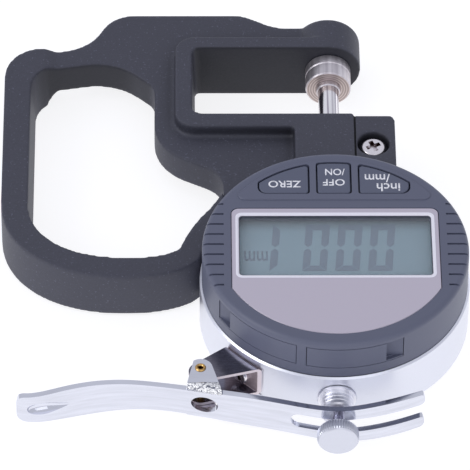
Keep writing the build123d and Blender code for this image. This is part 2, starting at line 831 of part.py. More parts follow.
def make_button_pad():
    """Rubber keypad between the board and the buttons."""
    near = button_near - pad_margin
    band = Pos(0, near + board_radius / 2) * Rectangle(2 * (side_outer_x - pad_margin), board_radius)
    return rise(Circle(board_radius) & band, board_top, pad_top)


def make_button(name):
    """A button: its cap through the face, and a flange that keeps it under the face."""
    flange_top = ceiling - end_gap
    cap = rise(button_outline(name), flange_top - flange_thickness, head_top + button_rise)
    cap = fillet(cap.edges().group_by(Axis.Z)[-1], button_edge)
    return cap + rise(button_outline(name, button_flange), flange_top - flange_thickness, flange_top)


def make_cover(name):
    """A curved door in the bezel's wall, with a nail notch at its outer end."""
    wall = post(2 * bezel_radius, head_bottom, head_top) - post(2 * bezel_inner, head_bottom, head_top)
    door = wall & cover_plug(name, -cover_gap)
    side = -1 if name == "battery" else 1
    x = side * (cover_width / 2 - notch_width / 2 - cover_gap)
    floor = sqrt(bezel_radius**2 - x**2) - notch_depth
    centre_z = notch_low + cover_height / 2
    notch = Pos(x, floor + bezel_wall, centre_z) * Box(notch_width, 2 * bezel_wall, cover_height)
    return door - cover_frame(name) * notch


def make_battery_cover():
    """The battery door with the tray that draws the coin cell out."""
    door = make_cover("battery")
    tray = Pos(0, coin_circle) * Circle(coin_diameter / 2)
    neck = Rectangle(tray_share * coin_diameter, bezel_inner - coin_circle)
    tray += Pos(0, (coin_circle + bezel_inner) / 2) * neck
    tray = extrude(tray, amount=tray_thickness)
    tray = Pos(0, 0, tray_bottom) * Rot(0, 0, cover_angles["battery"] - 90) * tray
    return door + (tray & post(bezel_inner + bezel_radius, tray_bottom, coin_bottom))


def make_battery():
    """Coin cell on its tray."""
    x, y = on_circle(cover_angles["battery"], coin_circle)
    cell = post(coin_diameter, coin_bottom, coin_bottom + coin_thickness, x, y)
    return fillet(cell.edges(), coin_edge)


def make_battery_contact():
    """Bent leaf on the head's floor that touches the cell's inner edge."""
    width, thick, height = contact_size
    radius = coin_circle - coin_diameter / 2 - inner_gap - thick / 2
    leaf = Pos(0, radius, height / 2) * Box(width, thick, height)
    foot = Pos(0, radius + thick, thick / 2) * Box(width, 3 * thick, thick)
    return Pos(0, 0, base_top) * Rot(0, 0, cover_angles["battery"] - 90) * (leaf + foot)


def make_data_port():
    """Connector block behind the port cover."""
    width, depth, height = port_size
    radius = bezel_inner - inner_gap - port_setback - depth / 2
    body = Pos(0, radius, height / 2) * Box(width, depth, height)
    opening = Box(width - 2 * socket_wall, 2 * socket_depth, height - 2 * socket_wall)
    socket = Pos(0, radius + depth / 2, height / 2) * opening
    return Pos(0, 0, base_top) * Rot(0, 0, cover_angles["port"] - 90) * (body - socket)


def blade_line():
    """The lever's near face as a smooth curve, and its far face at the blade's thickness."""
    near = Spline(*[(x, neck_middle_y + y) for x, y in blade_path])
    steps = 2 * len(blade_path)
    far_points = []
    for i in range(steps + 1):
        where = near @ (i / steps)
        along = near % (i / steps)
        far_points.append((where.X - along.Y * blade_thickness, where.Y + along.X * blade_thickness))
    return near, Spline(*far_points)


def lever_side():
    """Side view of the blade in X and Z, the same above and below the measuring level."""
    top = Spline(*[(x, h) for x, h in blade_half_heights])
    bottom = Spline(*[(x, -h) for x, h in blade_half_heights])
    side = make_face([top, bottom, Line(top @ 0, bottom @ 0), Line(top @ 1, bottom @ 1)])
    thumb = side.vertices().group_by(Axis.X)[0]
    side = fillet(thumb, thumb_corner)
    tip_x = blade_half_heights[-1][0]
    slot_round = fork_slot_start + fork_slot_height / 2
    slot_length = 2 * (tip_x - slot_round)
    side -= Pos(slot_round, 0) * Circle(fork_slot_height / 2)
    side -= Pos(slot_round + slot_length / 2, 0) * Rectangle(slot_length, fork_slot_height)
    side = fillet(side.vertices().group_by(Axis.X)[-1], fork_tip_corner)
    return side - Pos(oval_centre_x, 0) * Ellipse(oval_size[0] / 2, oval_size[1] / 2)


def near_y(x):
    """The blade's near face at a given X, found by halving the range that holds it."""
    halvings = 30
    low, high = 0.0, 1.0
    line = blade_line()[0]
    for _ in range(halvings):
        middle = (low + high) / 2
        if (line @ middle).X < x:
            low = middle
        else:
            high = middle
    return (line @ low).Y


def make_lugs():
    """The lever's two ears: sheet bent over from the blade and rounded about the rivet."""
    a = Vector(lug_ends[0], near_y(lug_ends[0]))
    b = Vector(lug_ends[1], near_y(lug_ends[1]))
    along = (b - a).normalized()
    length = (b - a).length
    reach = hypot(pivot[0] - a.X, pivot[1] - a.Y) + lug_end_radius
    inner = lug_setback + lug_thickness
    foot_z = lug_top - lug_foot
    under = lug_top - lug_thickness
    profile_points = [(lug_setback, foot_z), (lug_setback, lug_top), (reach, lug_top),
                      (reach, under), (inner, under), (inner, foot_z)]
    profile = rounded_polygon(profile_points, (0, lug_round, 0, 0, lug_round - lug_thickness, 0))
    inward = Vector(-along.Y, along.X)
    across = Plane(origin=(a.X, a.Y, axis_z), x_dir=tuple(inward), z_dir=tuple(along))
    sheet = extrude(across * profile, amount=length)
    if sheet.bounding_box().max.Z < axis_z:
        sheet = mirror(sheet, Plane.XY.offset(axis_z))
    end_circle = Pos(*pivot) * Circle(lug_end_radius)
    foot = Line((a.X, a.Y), (b.X, b.Y))
    plan = make_hull([*end_circle.edges(), foot])
    upper = sheet & rise(plan, axis_z, axis_z + 2 * lug_top)
    lower = mirror(upper, Plane.XY.offset(axis_z))
    bore = post(rivet_diameter + 2 * running_clearance, 0, frame_depth, *pivot)
    return upper - bore, lower - bore


def thumb_dimple(offset, radius):
    """A teardrop lying along the blade, blunt towards the thumb end and drawn out to a point."""
    half = Spline((dimple_start, 0), (dimple_start + dimple_lead, radius), (dimple_end, 0),
                  tangents=((0, 1), (1, -dimple_slope)))
    tear = revolve(make_face([half, Line(half @ 0, half @ 1)]), Axis.X)
    start_y = near_y(dimple_start)
    end_y = near_y(dimple_end)
    tilt = degrees(atan2(end_y - start_y, dimple_end - dimple_start))
    move = Pos(dimple_start, start_y + offset, axis_z) * Rot(0, 0, tilt) * Pos(-dimple_start, 0, 0)
    return move * tear


def make_lever():
    """The pressed lever: curved blade, fork, oval hole, thumb dimple and the two ears."""
    near, far = blade_line()
    plan = make_face([near, far, Line(near @ 0, far @ 0), Line(near @ 1, far @ 1)])
    blade = rise(plan, 0, frame_depth)
    upright = Plane(origin=(0, 0, axis_z), x_dir=(1, 0, 0), z_dir=(0, -1, 0))
    blade = blade & extrude(upright * lever_side(), amount=2 * case_radius)
    upper, lower = make_lugs()
    outside = dimple_radius - dimple_sink
    blade += thumb_dimple(blade_thickness - outside, dimple_radius)
    blade -= thumb_dimple(-outside, dimple_radius)
    return blade + upper + lower


def make_bracket():
    """Folded sheet bracket: a flange on the case's flat and two plates that carry the rivet."""
    half = lug_top - lug_thickness - bracket_clearance
    inner = case_radius - bracket_flat
    side = (-sin(radians(bracket_angle)), cos(radians(bracket_angle)))
    x, y = on_circle(bracket_angle, inner)
    reach = bracket_width / 2
    a = (x - side[0] * reach, y - side[1] * reach)
    b = (x + side[0] * reach, y + side[1] * reach)
    nose = Pos(*pivot) * Circle(bracket_nose)
    plan = make_hull([*nose.edges(), Line(a, b)])
    bracket = rise(plan, axis_z - half, axis_z + half)
    bracket = bracket & folded(inner, half, bracket_bend)
    bracket -= folded(inner + bracket_sheet, half - bracket_sheet, bracket_bend - bracket_sheet)
    bracket -= post(rivet_diameter + 2 * seat_clearance, 0, frame_depth, *pivot)
    hole = Cylinder(bracket_screw_shank / 2 + seat_clearance, 2 * case_wall)
    return bracket - flat_plane(inner) * hole


def folded(start, half, bend):
    """A bar outwards from the case's flat, with its two edges beside the flat rounded to the fold."""
    reach = 2 * bracket_width
    solid = flat_plane(start) * Box(reach, 2 * half, reach, align=standing)
    out = Axis((0, 0, 0), flat_plane(start).z_dir)
    along = Axis((0, 0, 0), flat_plane(start).x_dir)
    return fillet(solid.edges().filter_by(along).sort_by(out)[:2], bend)


def make_bracket_screw():
    """Pan head screw through the bracket's flange into the case."""
    inner = case_radius - bracket_flat
    head = flat_plane(inner + bracket_sheet) * pan_head(bracket_screw_head, bracket_screw_height)
    length = case_wall + bracket_sheet - inner_gap
    shank = Cylinder(bracket_screw_shank / 2, length, align=(Align.CENTER, Align.CENTER, Align.MAX))
    return head + flat_plane(inner + bracket_sheet) * shank


def make_rivet():
    """Tubular rivet through the ears and the bracket, flared at both ends."""
    seat = lug_top + running_clearance
    outer = seat + rivet_flange_height
    rivet = post(rivet_diameter, axis_z - outer, axis_z + outer, *pivot)
    for side in (-1, 1):
        low, high = sorted((axis_z + side * seat, axis_z + side * outer))
        rivet += post(rivet_flange, low, high, *pivot)
    rivet -= post(rivet_bore, 0, frame_depth, *pivot)
    return chamfer(rivet.edges().group_by(Axis.Z)[-1] + rivet.edges().group_by(Axis.Z)[0], rivet_flare)


def make_lever_spring():
    """Torsion spring round the rivet, inside the bracket."""
    height = 2 * (lug_top - lug_thickness - bracket_sheet - bracket_clearance - torsion_gap)
    spring = coil(torsion_wire, torsion_mean_diameter, torsion_turns, height)
    return Pos(pivot[0], pivot[1], axis_z - height / 2) * spring


nodes = {
    "frame": make_frame(),
    "clamp_screw": make_clamp_screw(),
    "fixed_anvil": make_fixed_anvil(),
    "moving_anvil": make_moving_anvil(),
    "spindle": make_spindle(),
    "stem": make_stem(),
    "case": make_case(),
    "back_cover": make_back_cover(),
    "back_screws": make_back_screws(),
    "spindle_bush": make_bush(),
    "lift_knob": make_knob(),
    "guide_carriage": make_carriage(),
    "guide_rod": make_guide_rod(),
    "scale_strip": make_strip(),
    "sensor_board": make_sensor_board(),
    "return_spring": make_return_spring(),
    "bezel": make_bezel(),
    "head_base": make_head_base(),
    "bezel_screws": make_bezel_screws(),
    "retaining_ring": make_retaining_ring(),
    "lens": make_lens(),
    "lcd": make_glass(),
    "lcd_connector": make_connector(),
    "display_board": make_board(),
    "button_pad": make_button_pad(),
    "zero_button": make_button("zero"),
    "power_button": make_button("power"),
    "unit_button": make_button("unit"),
    "port_cover": make_cover("port"),
    "data_port": make_data_port(),
    "battery_cover": make_battery_cover(),
    "battery": make_battery(),
    "battery_contact": make_battery_contact(),
    "lever": make_lever(),
    "lever_bracket": make_bracket(),
    "bracket_screw": make_bracket_screw(),
    "lever_pivot": make_rivet(),
    "lever_spring": make_lever_spring(),
}

os.makedirs("parts", exist_ok=True)
for name, shape in nodes.items():
    export_step(shape, f"parts/{name}.step")
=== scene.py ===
import math

import bmesh
import bpy
import numpy as np
from bpy.props import FloatProperty, FloatVectorProperty, IntProperty, PointerProperty
from bpy.types import Operator, Panel, PropertyGroup
from mathutils import Matrix, Vector


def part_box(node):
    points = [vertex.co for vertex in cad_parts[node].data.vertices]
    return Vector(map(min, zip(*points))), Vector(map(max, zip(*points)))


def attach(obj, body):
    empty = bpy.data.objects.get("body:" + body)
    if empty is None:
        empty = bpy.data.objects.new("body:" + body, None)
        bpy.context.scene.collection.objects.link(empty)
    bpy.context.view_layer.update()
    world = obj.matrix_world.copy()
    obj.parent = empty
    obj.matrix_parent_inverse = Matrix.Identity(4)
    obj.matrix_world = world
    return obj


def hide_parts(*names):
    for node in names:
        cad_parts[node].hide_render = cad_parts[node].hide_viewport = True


bl_info = {
    "name": "Thickness gauge looks",
    "version": (1, 0, 0),
    "blender": (4, 5, 0),
    "location": "3D View > Sidebar > Gauge",
    "description": "Finishes, display, labels and fine forms of a digital thickness gauge",
    "category": "Object",
}

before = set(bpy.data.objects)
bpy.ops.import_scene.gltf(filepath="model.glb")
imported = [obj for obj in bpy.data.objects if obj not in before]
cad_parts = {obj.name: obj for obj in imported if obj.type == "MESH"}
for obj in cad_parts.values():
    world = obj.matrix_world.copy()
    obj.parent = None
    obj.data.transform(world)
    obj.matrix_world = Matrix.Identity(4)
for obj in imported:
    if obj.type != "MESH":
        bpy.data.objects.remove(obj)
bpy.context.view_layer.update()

MM = 0.001
AXIS_HEIGHT = (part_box("spindle")[0].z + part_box("spindle")[1].z) / 2
PHOTO_WIDTH = 470
SENSOR_MM = 36.0


def linear(code):
    """An sRGB hex colour as linear red, green and blue."""
    channels = [int(code[i:i + 2], 16) / 255 for i in (1, 3, 5)]
    return tuple(c / 12.92 if c <= 0.04045 else ((c + 0.055) / 1.055) ** 2.4 for c in channels)


def colour(label, code, description):
    """A colour property with an sRGB default."""
    return FloatVectorProperty(name=label, description=description, default=linear(code), size=3,
                               subtype="COLOR", min=0.0, max=1.0)


def length(label, millimetres, description):
    """A length property whose default is given in millimetres."""
    return FloatProperty(name=label, description=description, default=millimetres * MM, subtype="DISTANCE",
                         unit="LENGTH", precision=5)


class GaugeFinishes(PropertyGroup):
    """Colours of the gauge's finishes."""
    enamel: colour("Enamel", "#42434f", "Textured enamel on the casting")
    shell: colour("Shell", "#5a5e72", "Moulded shell of the display head")
    keys: colour("Keys", "#555a6e", "Caps of the three keys")
    panel: colour("Panel", "#c0b9c7", "Silver print behind the cover plate")
    border: colour("Border", "#eceaf4", "White border round the display window")
    reflector: colour("Reflector", "#7595a3", "Display as it looks where no segment is on")
    segment: colour("Segment", "#52677d", "Display segments that are on")
    lettering: colour("Lettering", "#f2f2f8", "Words on the keys")
    satin: colour("Satin", "#e4e6f0", "Satin housing, bush and knob")
    chrome: colour("Chrome", "#e4e6f0", "Bright plating on the lever")
    steel: colour("Steel", "#efeaee", "Ground and polished steel")
    brass: colour("Brass", "#c9a468", "Eyelet and torsion spring")


class GaugeSizes(PropertyGroup):
    """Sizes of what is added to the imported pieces."""
    edge_round: length("Edge rounding", 0.4, "Cell of the casting's remesh, and about its edges' radius")
    hole_draft: length("Hole draft", 0.9, "How far the finger hole's left wall leans inwards at its foot")
    throat_draft: length("Throat draft", 0.7, "How far the throat's left wall leans inwards at its foot")
    knurl_depth: length("Knurl depth", 0.3, "Depth of the knob's straight knurl")
    knurl_count: IntProperty(name="Knurl count", description="Ridges round the knob", default=48, min=12)
    digit_height: length("Digit height", 13.6, "Height of a display digit")
    digit_pitch: length("Digit pitch", 6.92, "Distance from digit to digit")
    print_thickness: length("Print thickness", 0.02, "Thickness of the lettering")


def sizes():
    """The scene's size settings."""
    return bpy.context.scene.gauge_sizes


def finishes():
    """The scene's finish settings."""
    return bpy.context.scene.gauge_finishes


def add_node(tree, kind, inputs=None, **settings):
    """Adds a shader node: an input given as a socket is linked, any other value is set on its socket."""
    made = tree.nodes.new(kind)
    for key, value in settings.items():
        setattr(made, key, value)
    for key, value in (inputs or {}).items():
        if isinstance(value, bpy.types.NodeSocket):
            tree.links.new(value, made.inputs[key])
        else:
            made.inputs[key].default_value = value
    return made


def new_material(name):
    """An empty node material with its output, and the shader that feeds it."""
    material = bpy.data.materials.new(name)
    material.use_nodes = True
    tree = material.node_tree
    tree.nodes.clear()
    shader = add_node(tree, "ShaderNodeBsdfPrincipled")
    add_node(tree, "ShaderNodeOutputMaterial", {"Surface": shader.outputs["BSDF"]})
    return material, tree, shader


def rgba(rgb, factor=1.0):
    """A colour with its brightness changed by a factor, and full alpha."""
    return (*(min(1.0, c * factor) for c in rgb), 1.0)


def object_place(tree, scale=(1.0, 1.0, 1.0)):
    """The point on the object, in metres, with each axis multiplied."""
    where = add_node(tree, "ShaderNodeTexCoord")
    if scale == (1.0, 1.0, 1.0):
        return where.outputs["Object"]
    stretched = add_node(tree, "ShaderNodeMapping", {"Vector": where.outputs["Object"], "Scale": scale})
    return stretched.outputs["Vector"]


def grain(tree, size, detail=2.0, stretch=(1.0, 1.0, 1.0)):
    """Noise whose lumps are about that many millimetres across."""
    place = object_place(tree, stretch)
    noise = add_node(tree, "ShaderNodeTexNoise", {"Vector": place, "Scale": 1 / (size * MM),
                                                  "Detail": detail})
    return noise.outputs["Fac"]


def mix_colour(tree, factor, first, second):
    """Two colours mixed by a factor."""
    mixed = add_node(tree, "ShaderNodeMix", {"Factor": factor}, data_type="RGBA")
    for index, value in ((6, first), (7, second)):
        if isinstance(value, bpy.types.NodeSocket):
            tree.links.new(value, mixed.inputs[index])
        else:
            mixed.inputs[index].default_value = value
    return mixed.outputs[2]


def spread(tree, value, low, high):
    """A value from 0 to 1 carried to the range from low to high."""
    mapped = add_node(tree, "ShaderNodeMapRange", {"Value": value, "To Min": low, "To Max": high})
    return mapped.outputs["Result"]


def bump(tree, height, distance, strength=1.0):
    """A bump of that height in millimetres."""
    made = add_node(tree, "ShaderNodeBump", {"Height": height, "Distance": distance * MM,
                                             "Strength": strength})
    return made.outputs["Normal"]


def openness(tree, reach):
    """How open a point is within that many millimetres on its own piece: 0 deep in a recess, 1 open."""
    seen = add_node(tree, "ShaderNodeAmbientOcclusion", {"Distance": reach * MM}, only_local=True,
                    samples=8)
    return seen.outputs["AO"]


def narrowed(tree, value, start, end, low=0.0, high=1.0):
    """A value whose range from start to end is carried to the range from low to high, and held there."""
    made = add_node(tree, "ShaderNodeMapRange", {"Value": value, "From Min": start, "From Max": end,
                                                 "To Min": low, "To Max": high})
    return made.outputs["Result"]


def facing(tree, axis):
    """The part of a surface's direction, on its own piece, that lies along an axis."""
    where = add_node(tree, "ShaderNodeTexCoord")
    split = add_node(tree, "ShaderNodeSeparateXYZ", {"Vector": where.outputs["Normal"]})
    return split.outputs[axis]


def along(tree, axis):
    """A point's place on the object along an axis, in metres."""
    split = add_node(tree, "ShaderNodeSeparateXYZ", {"Vector": object_place(tree)})
    return split.outputs[axis]


def both(tree, first, second):
    """The product of two masks."""
    product = add_node(tree, "ShaderNodeMath", {0: first, 1: second}, operation="MULTIPLY")
    return product.outputs["Value"]


def between(tree, axis, low, high, blur=0.3):
    """A mask that is 1 from low to high millimetres along an axis and fades out within the blur."""
    place = along(tree, axis)
    return both(tree, narrowed(tree, place, (low - blur) * MM, low * MM),
                narrowed(tree, place, high * MM, (high + blur) * MM, 1.0, 0.0))


def textured_enamel():
    """Baked texture enamel on cast aluminium: a dark grey with a fine orange-peel grain and a soft gloss.

    Shade is painted in: the recesses and the throat's wall that faces the knob are darkened. Single
    grains are brightened as painted glints.
    """
    material, tree, shader = new_material("texture_enamel_on_cast_aluminium")
    base = finishes().enamel
    fine = grain(tree, 0.42, detail=3.0)
    broad = grain(tree, 7.0, detail=3.0)
    tone = mix_colour(tree, fine, rgba(base, 0.66), rgba(base, 1.34))
    tone = mix_colour(tree, spread(tree, broad, 0.0, 0.4), tone, rgba(base, 0.84))
    # Painted glints: single grains are lifted to over three times the enamel's brightness.
    painted_glint = narrowed(tree, grain(tree, 0.5, detail=1.0), 0.66, 0.74, 0.0, 0.34)
    tone = mix_colour(tree, painted_glint, tone, rgba(base, 3.2))
    # Painted shade: where the piece closes in round a point within 16 mm, the enamel is darkened towards a
    # fifth of its colour.
    tone = mix_colour(tree, narrowed(tree, openness(tree, 16.0), 0.35, 0.85), rgba(base, 0.22), tone)
    # Painted shade: the throat's wall that faces the knob is darkened to under half the enamel's colour.
    throat_wall = between(tree, "Y", 60.0, 80.0)
    towards_knob = narrowed(tree, facing(tree, "Y"), -0.9, -0.4, 1.0, 0.0)
    tone = mix_colour(tree, both(tree, towards_knob, throat_wall), tone, rgba(base, 0.42))
    tree.links.new(tone, shader.inputs["Base Color"])
    tree.links.new(spread(tree, fine, 0.46, 0.66), shader.inputs["Roughness"])
    tree.links.new(bump(tree, fine, 0.06, 0.7), shader.inputs["Normal"])
    shader.inputs["IOR"].default_value = 1.45
    return material


def moulded_shell(name, base):
    """Spark-textured ABS: an even slate grey whose fine grain breaks up the gloss."""
    material, tree, shader = new_material(name)
    fine = grain(tree, 0.22)
    tone = mix_colour(tree, fine, rgba(base, 0.94), rgba(base, 1.06))
    tree.links.new(tone, shader.inputs["Base Color"])
    tree.links.new(spread(tree, fine, 0.38, 0.50), shader.inputs["Roughness"])
    tree.links.new(bump(tree, fine, 0.02, 0.45), shader.inputs["Normal"])
    shader.inputs["IOR"].default_value = 1.53
    return material


def satin_metal(name, base, roughness, size=0.18, stretch=(1.0, 1.0, 1.0), depth=0.006):
    """Satin plated metal: a bright soft sheen with a grain as fine as the render can show."""
    material, tree, shader = new_material(name)
    fine = grain(tree, size, stretch=stretch)
    tone = mix_colour(tree, fine, rgba(base, 0.95), rgba(base, 1.04))
    tree.links.new(tone, shader.inputs["Base Color"])
    tree.links.new(spread(tree, fine, roughness * 0.85, roughness * 1.15), shader.inputs["Roughness"])
    tree.links.new(bump(tree, fine, depth, 0.6), shader.inputs["Normal"])
    shader.inputs["Metallic"].default_value = 1.0
    return material


def bright_chrome():
    """Chromium plate over polished steel: a near mirror with polishing lines.

    Where the upper ear folds out of the blade, the stretched plate is crinkled: the bump is real, and its
    sparkle is painted as dark grey and white spots.
    """
    material, tree, shader = new_material("bright_chromium_plate")
    base = finishes().chrome
    waves = grain(tree, 2.6)
    lines = grain(tree, 0.9, detail=3.0, stretch=(0.05, 0.3, 1.0))
    tone = mix_colour(tree, lines, rgba(base, 0.78), rgba(base, 1.06))
    crinkle = grain(tree, 0.42, detail=3.0, stretch=(0.8, 1.0, 1.0))
    fold = between(tree, "X", -31.3, -24.2)
    for axis, low, high, blur in (("Y", -33.0, -28.7, 0.1), ("Z", 11.1, 13.0, 0.3)):
        fold = both(tree, fold, between(tree, axis, low, high, blur))
    # Painted sparkle: dark grey and white spots in the colour stand in for glints on the crinkled fold.
    painted_fold_sparkle = mix_colour(tree, narrowed(tree, crinkle, 0.36, 0.52), rgba(linear("#6a6d7c")),
                        rgba(linear("#ffffff")))
    tree.links.new(mix_colour(tree, fold, tone, painted_fold_sparkle), shader.inputs["Base Color"])
    tree.links.new(spread(tree, waves, 0.06, 0.16), shader.inputs["Roughness"])
    tree.links.new(bump(tree, both(tree, crinkle, fold), 0.25), shader.inputs["Normal"])
    shader.inputs["Metallic"].default_value = 1.0
    return material


def ground_steel():
    """Surface-ground tool steel: bright, with grinding lines round the disc.

    The end faces towards the knob are turned, which leaves fine brownish rings.
    """
    material, tree, shader = new_material("ground_tool_steel")
    base = finishes().steel
    lines = grain(tree, 0.16, stretch=(0.15, 4.0, 0.15))
    streaks = grain(tree, 1.1, stretch=(1.0, 0.05, 1.0))
    tone = mix_colour(tree, lines, rgba(base, 0.80), rgba(base, 1.06))
    tone = mix_colour(tree, narrowed(tree, streaks, 0.35, 0.65), tone, rgba(linear("#c6c0c6")))
    where = add_node(tree, "ShaderNodeTexCoord")
    centred = add_node(tree, "ShaderNodeMapping", {"Vector": where.outputs["Object"],
                                                   "Location": (0, 0, -AXIS_HEIGHT)})
    ring_spacing = 0.55 * MM
    # A wave texture takes the sine of 20 times its scale times the distance.
    ring_scale = 2 * math.pi / (20 * ring_spacing)
    rings = add_node(tree, "ShaderNodeTexWave", {"Vector": centred.outputs["Vector"], "Scale": ring_scale,
                                                 "Distortion": 0.4},
                     wave_type="RINGS", rings_direction="Y")
    turned = mix_colour(tree, rings.outputs["Fac"], rgba(linear("#a89a96")), rgba(linear("#d9cbc8")))
    towards_knob = narrowed(tree, facing(tree, "Y"), -0.97, -0.9, 1.0, 0.0)
    tone = mix_colour(tree, towards_knob, tone, turned)
    tree.links.new(tone, shader.inputs["Base Color"])
    tree.links.new(spread(tree, lines, 0.36, 0.5), shader.inputs["Roughness"])
    tree.links.new(bump(tree, lines, 0.01, 0.5), shader.inputs["Normal"])
    shader.inputs["Metallic"].default_value = 1.0
    return material


def polished_rod():
    """Polished hardened steel rod: long bright and purple-grey streaks along its length, painted in as
    reflections.
    """
    material, tree, shader = new_material("polished_hardened_steel")
    base = finishes().steel
    streaks = grain(tree, 0.8, stretch=(1.0, 0.01, 1.0))
    # Painted reflection: the streaks stand in for the bright and dark bands that the rod mirrors.
    tone = mix_colour(tree, narrowed(tree, streaks, 0.38, 0.6), rgba(linear("#a59eab")), rgba(base, 1.2))
    tree.links.new(tone, shader.inputs["Base Color"])
    tree.links.new(spread(tree, streaks, 0.10, 0.2), shader.inputs["Roughness"])
    shader.inputs["Metallic"].default_value = 1.0
    return material


def plated_screw():
    """Nickel-plated screw: bright outside, and dark brown where the recess closes in."""
    material, tree, shader = new_material("nickel_plated_screw")
    fine = grain(tree, 0.18)
    tone = mix_colour(tree, fine, rgba(finishes().steel, 0.92), rgba(finishes().steel, 1.05))
    # The recess is coloured dark brown where the piece closes in round a point within 0.9 mm.
    tone = mix_colour(tree, narrowed(tree, openness(tree, 0.9), 0.45, 0.9), rgba(linear("#5d4640")), tone)
    tree.links.new(tone, shader.inputs["Base Color"])
    tree.links.new(spread(tree, fine, 0.2, 0.3), shader.inputs["Roughness"])
    shader.inputs["Metallic"].default_value = 1.0
    return material


def bracket_sheet():
    """Cold-rolled steel sheet under thin nickel, coloured by face direction as painted light: upward faces
    dark and streaky, others pale pink, those towards the knob nearly white.
    """
    material, tree, shader = new_material("nickel_plated_sheet")
    streaks = grain(tree, 0.35, stretch=(0.25, 1.0, 1.0))
    plate = mix_colour(tree, streaks, rgba(linear("#5c5a66")), rgba(linear("#8c8a96")))
    inner = mix_colour(tree, streaks, rgba(linear("#a39297")), rgba(linear("#cbbbc0")))
    # Painted reflection and highlight: the colour follows which way a face looks, not a change in the
    # sheet.
    upwards = narrowed(tree, facing(tree, "Z"), 0.8, 0.95)
    knob_side_highlight = narrowed(tree, facing(tree, "Y"), -0.93, -0.85, 1.0, 0.0)
    inner = mix_colour(tree, knob_side_highlight, inner, rgba(linear("#f6eaee")))
    tree.links.new(mix_colour(tree, upwards, inner, plate), shader.inputs["Base Color"])
    tree.links.new(spread(tree, upwards, 0.35, 1.0), shader.inputs["Metallic"])
    tree.links.new(spread(tree, upwards, 0.42, 0.2), shader.inputs["Roughness"])
    return material


def plain_finish(name, base, roughness):
    """A plain moulded or printed surface with a faint grain in its colour and gloss."""
    material, tree, shader = new_material(name)
    fine = grain(tree, 0.3)
    tone = mix_colour(tree, fine, rgba(base, 0.92), rgba(base, 1.08))
    tree.links.new(tone, shader.inputs["Base Color"])
    tree.links.new(spread(tree, fine, roughness * 0.9, roughness * 1.1), shader.inputs["Roughness"])
    return material


def clear_plate():
    """Clear acrylic over the display: it lets the display show and adds a faint gloss."""
    material, tree, shader = new_material("clear_acrylic")
    shader.inputs["Base Color"].default_value = rgba(linear("#dfe8f0"))
    shader.inputs["Roughness"].default_value = 0.06
    shader.inputs["Alpha"].default_value = 0.07
    return material


def dress(names, material):
    """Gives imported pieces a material."""
    for name in names:
        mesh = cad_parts[name].data
        mesh.materials.clear()
        mesh.materials.append(material)


def add_piece(name, points, faces, material, body, slot, smooth_angle=30.0):
    """Makes a piece from points in metres and faces, finishes its shading and lets it ride on a body."""
    mesh = bpy.data.meshes.new(name)
    mesh.from_pydata(np.asarray(points, float).tolist(), [], [list(map(int, f)) for f in faces])
    mesh.validate()
    mesh.update()
    piece = bpy.data.objects.new(name, mesh)
    bpy.context.scene.collection.objects.link(piece)
    mesh.materials.append(material)
    mesh.shade_smooth()
    if smooth_angle < 180:
        mesh.set_sharp_from_angle(angle=math.radians(smooth_angle))
    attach(piece, body)
    return piece


def at_height(outline, height):
    """A flat outline as points at one height."""
    outline = np.asarray(outline, float)
    return np.column_stack([outline, np.full(len(outline), height)])


def loop_faces(rows, count):
    """Quads between neighbouring closed loops of count points each."""
    row = np.arange(rows - 1)[:, None] * count
    here = np.arange(count)[None, :]
    after = (here + 1) % count
    quads = np.stack([row + here, row + after, row + count + after, row + count + here], axis=-1)
    return quads.reshape(-1, 4)


def closed_band(loops):
    """Closed loops of points joined into a ring, whose last loop joins the first.

    Seen from above, the loops run anticlockwise, and they are listed from the ring's inner foot over its
    top to its outer foot, so that the faces point outwards.
    """
    count = len(loops[0])
    wrap = loop_faces(2, count)
    wrap = np.where(wrap >= count, wrap - count, wrap + (len(loops) - 1) * count)
    return np.vstack(loops), np.vstack([loop_faces(len(loops), count), wrap])[:, ::-1]


def lathe(profile, count, shape=None):
    """A profile of radius and height turned about an axis, as points and faces.

    A point is (r cos t, r sin t, h), where r may be changed by a function of t and the profile's row.
    The first and last rows are single points on the axis.
    """
    profile = np.asarray(profile, float)
    turn = np.linspace(0, 2 * math.pi, count, endpoint=False)
    radius = np.repeat(profile[1:-1, :1], count, axis=1)
    if shape is not None:
        radius = radius + shape(turn)
    rings = np.stack([radius * np.cos(turn), radius * np.sin(turn),
                      np.repeat(profile[1:-1, 1:], count, axis=1)], axis=-1)
    points = np.vstack([[[0, 0, profile[0, 1]]], rings.reshape(-1, 3), [[0, 0, profile[-1, 1]]]])
    rows = len(profile) - 2
    faces = [list(f) for f in loop_faces(rows, count) + 1]
    here = np.arange(count)
    after = (here + 1) % count
    faces += [[0, 1 + b, 1 + a] for a, b in zip(here, after)]
    last = len(points) - 1
    base = 1 + (rows - 1) * count
    faces += [[last, base + a, base + b] for a, b in zip(here, after)]
    return points, faces


def resample(outline, centre, angles):
    """Where rays from a centre cross a star-shaped outline.

    The edge that each ray meets is found by angle, and the crossing's distance is the cross product of
    the edge's start and direction over the cross product of the ray and that direction.
    """
    offset = np.asarray(outline, float) - centre
    turn = np.arctan2(offset[:, 1], offset[:, 0]) % (2 * math.pi)
    order = np.argsort(turn)
    offset, turn = offset[order], turn[order]
    last = (np.searchsorted(turn, angles, side="right") - 1) % len(turn)
    start = offset[last]
    edge = offset[(last + 1) % len(turn)] - start
    ray = np.stack([np.cos(angles), np.sin(angles)], axis=-1)
    reach = (start[:, 0] * edge[:, 1] - start[:, 1] * edge[:, 0]) / (
        ray[:, 0] * edge[:, 1] - ray[:, 1] * edge[:, 0])
    return centre + ray * reach[:, None]


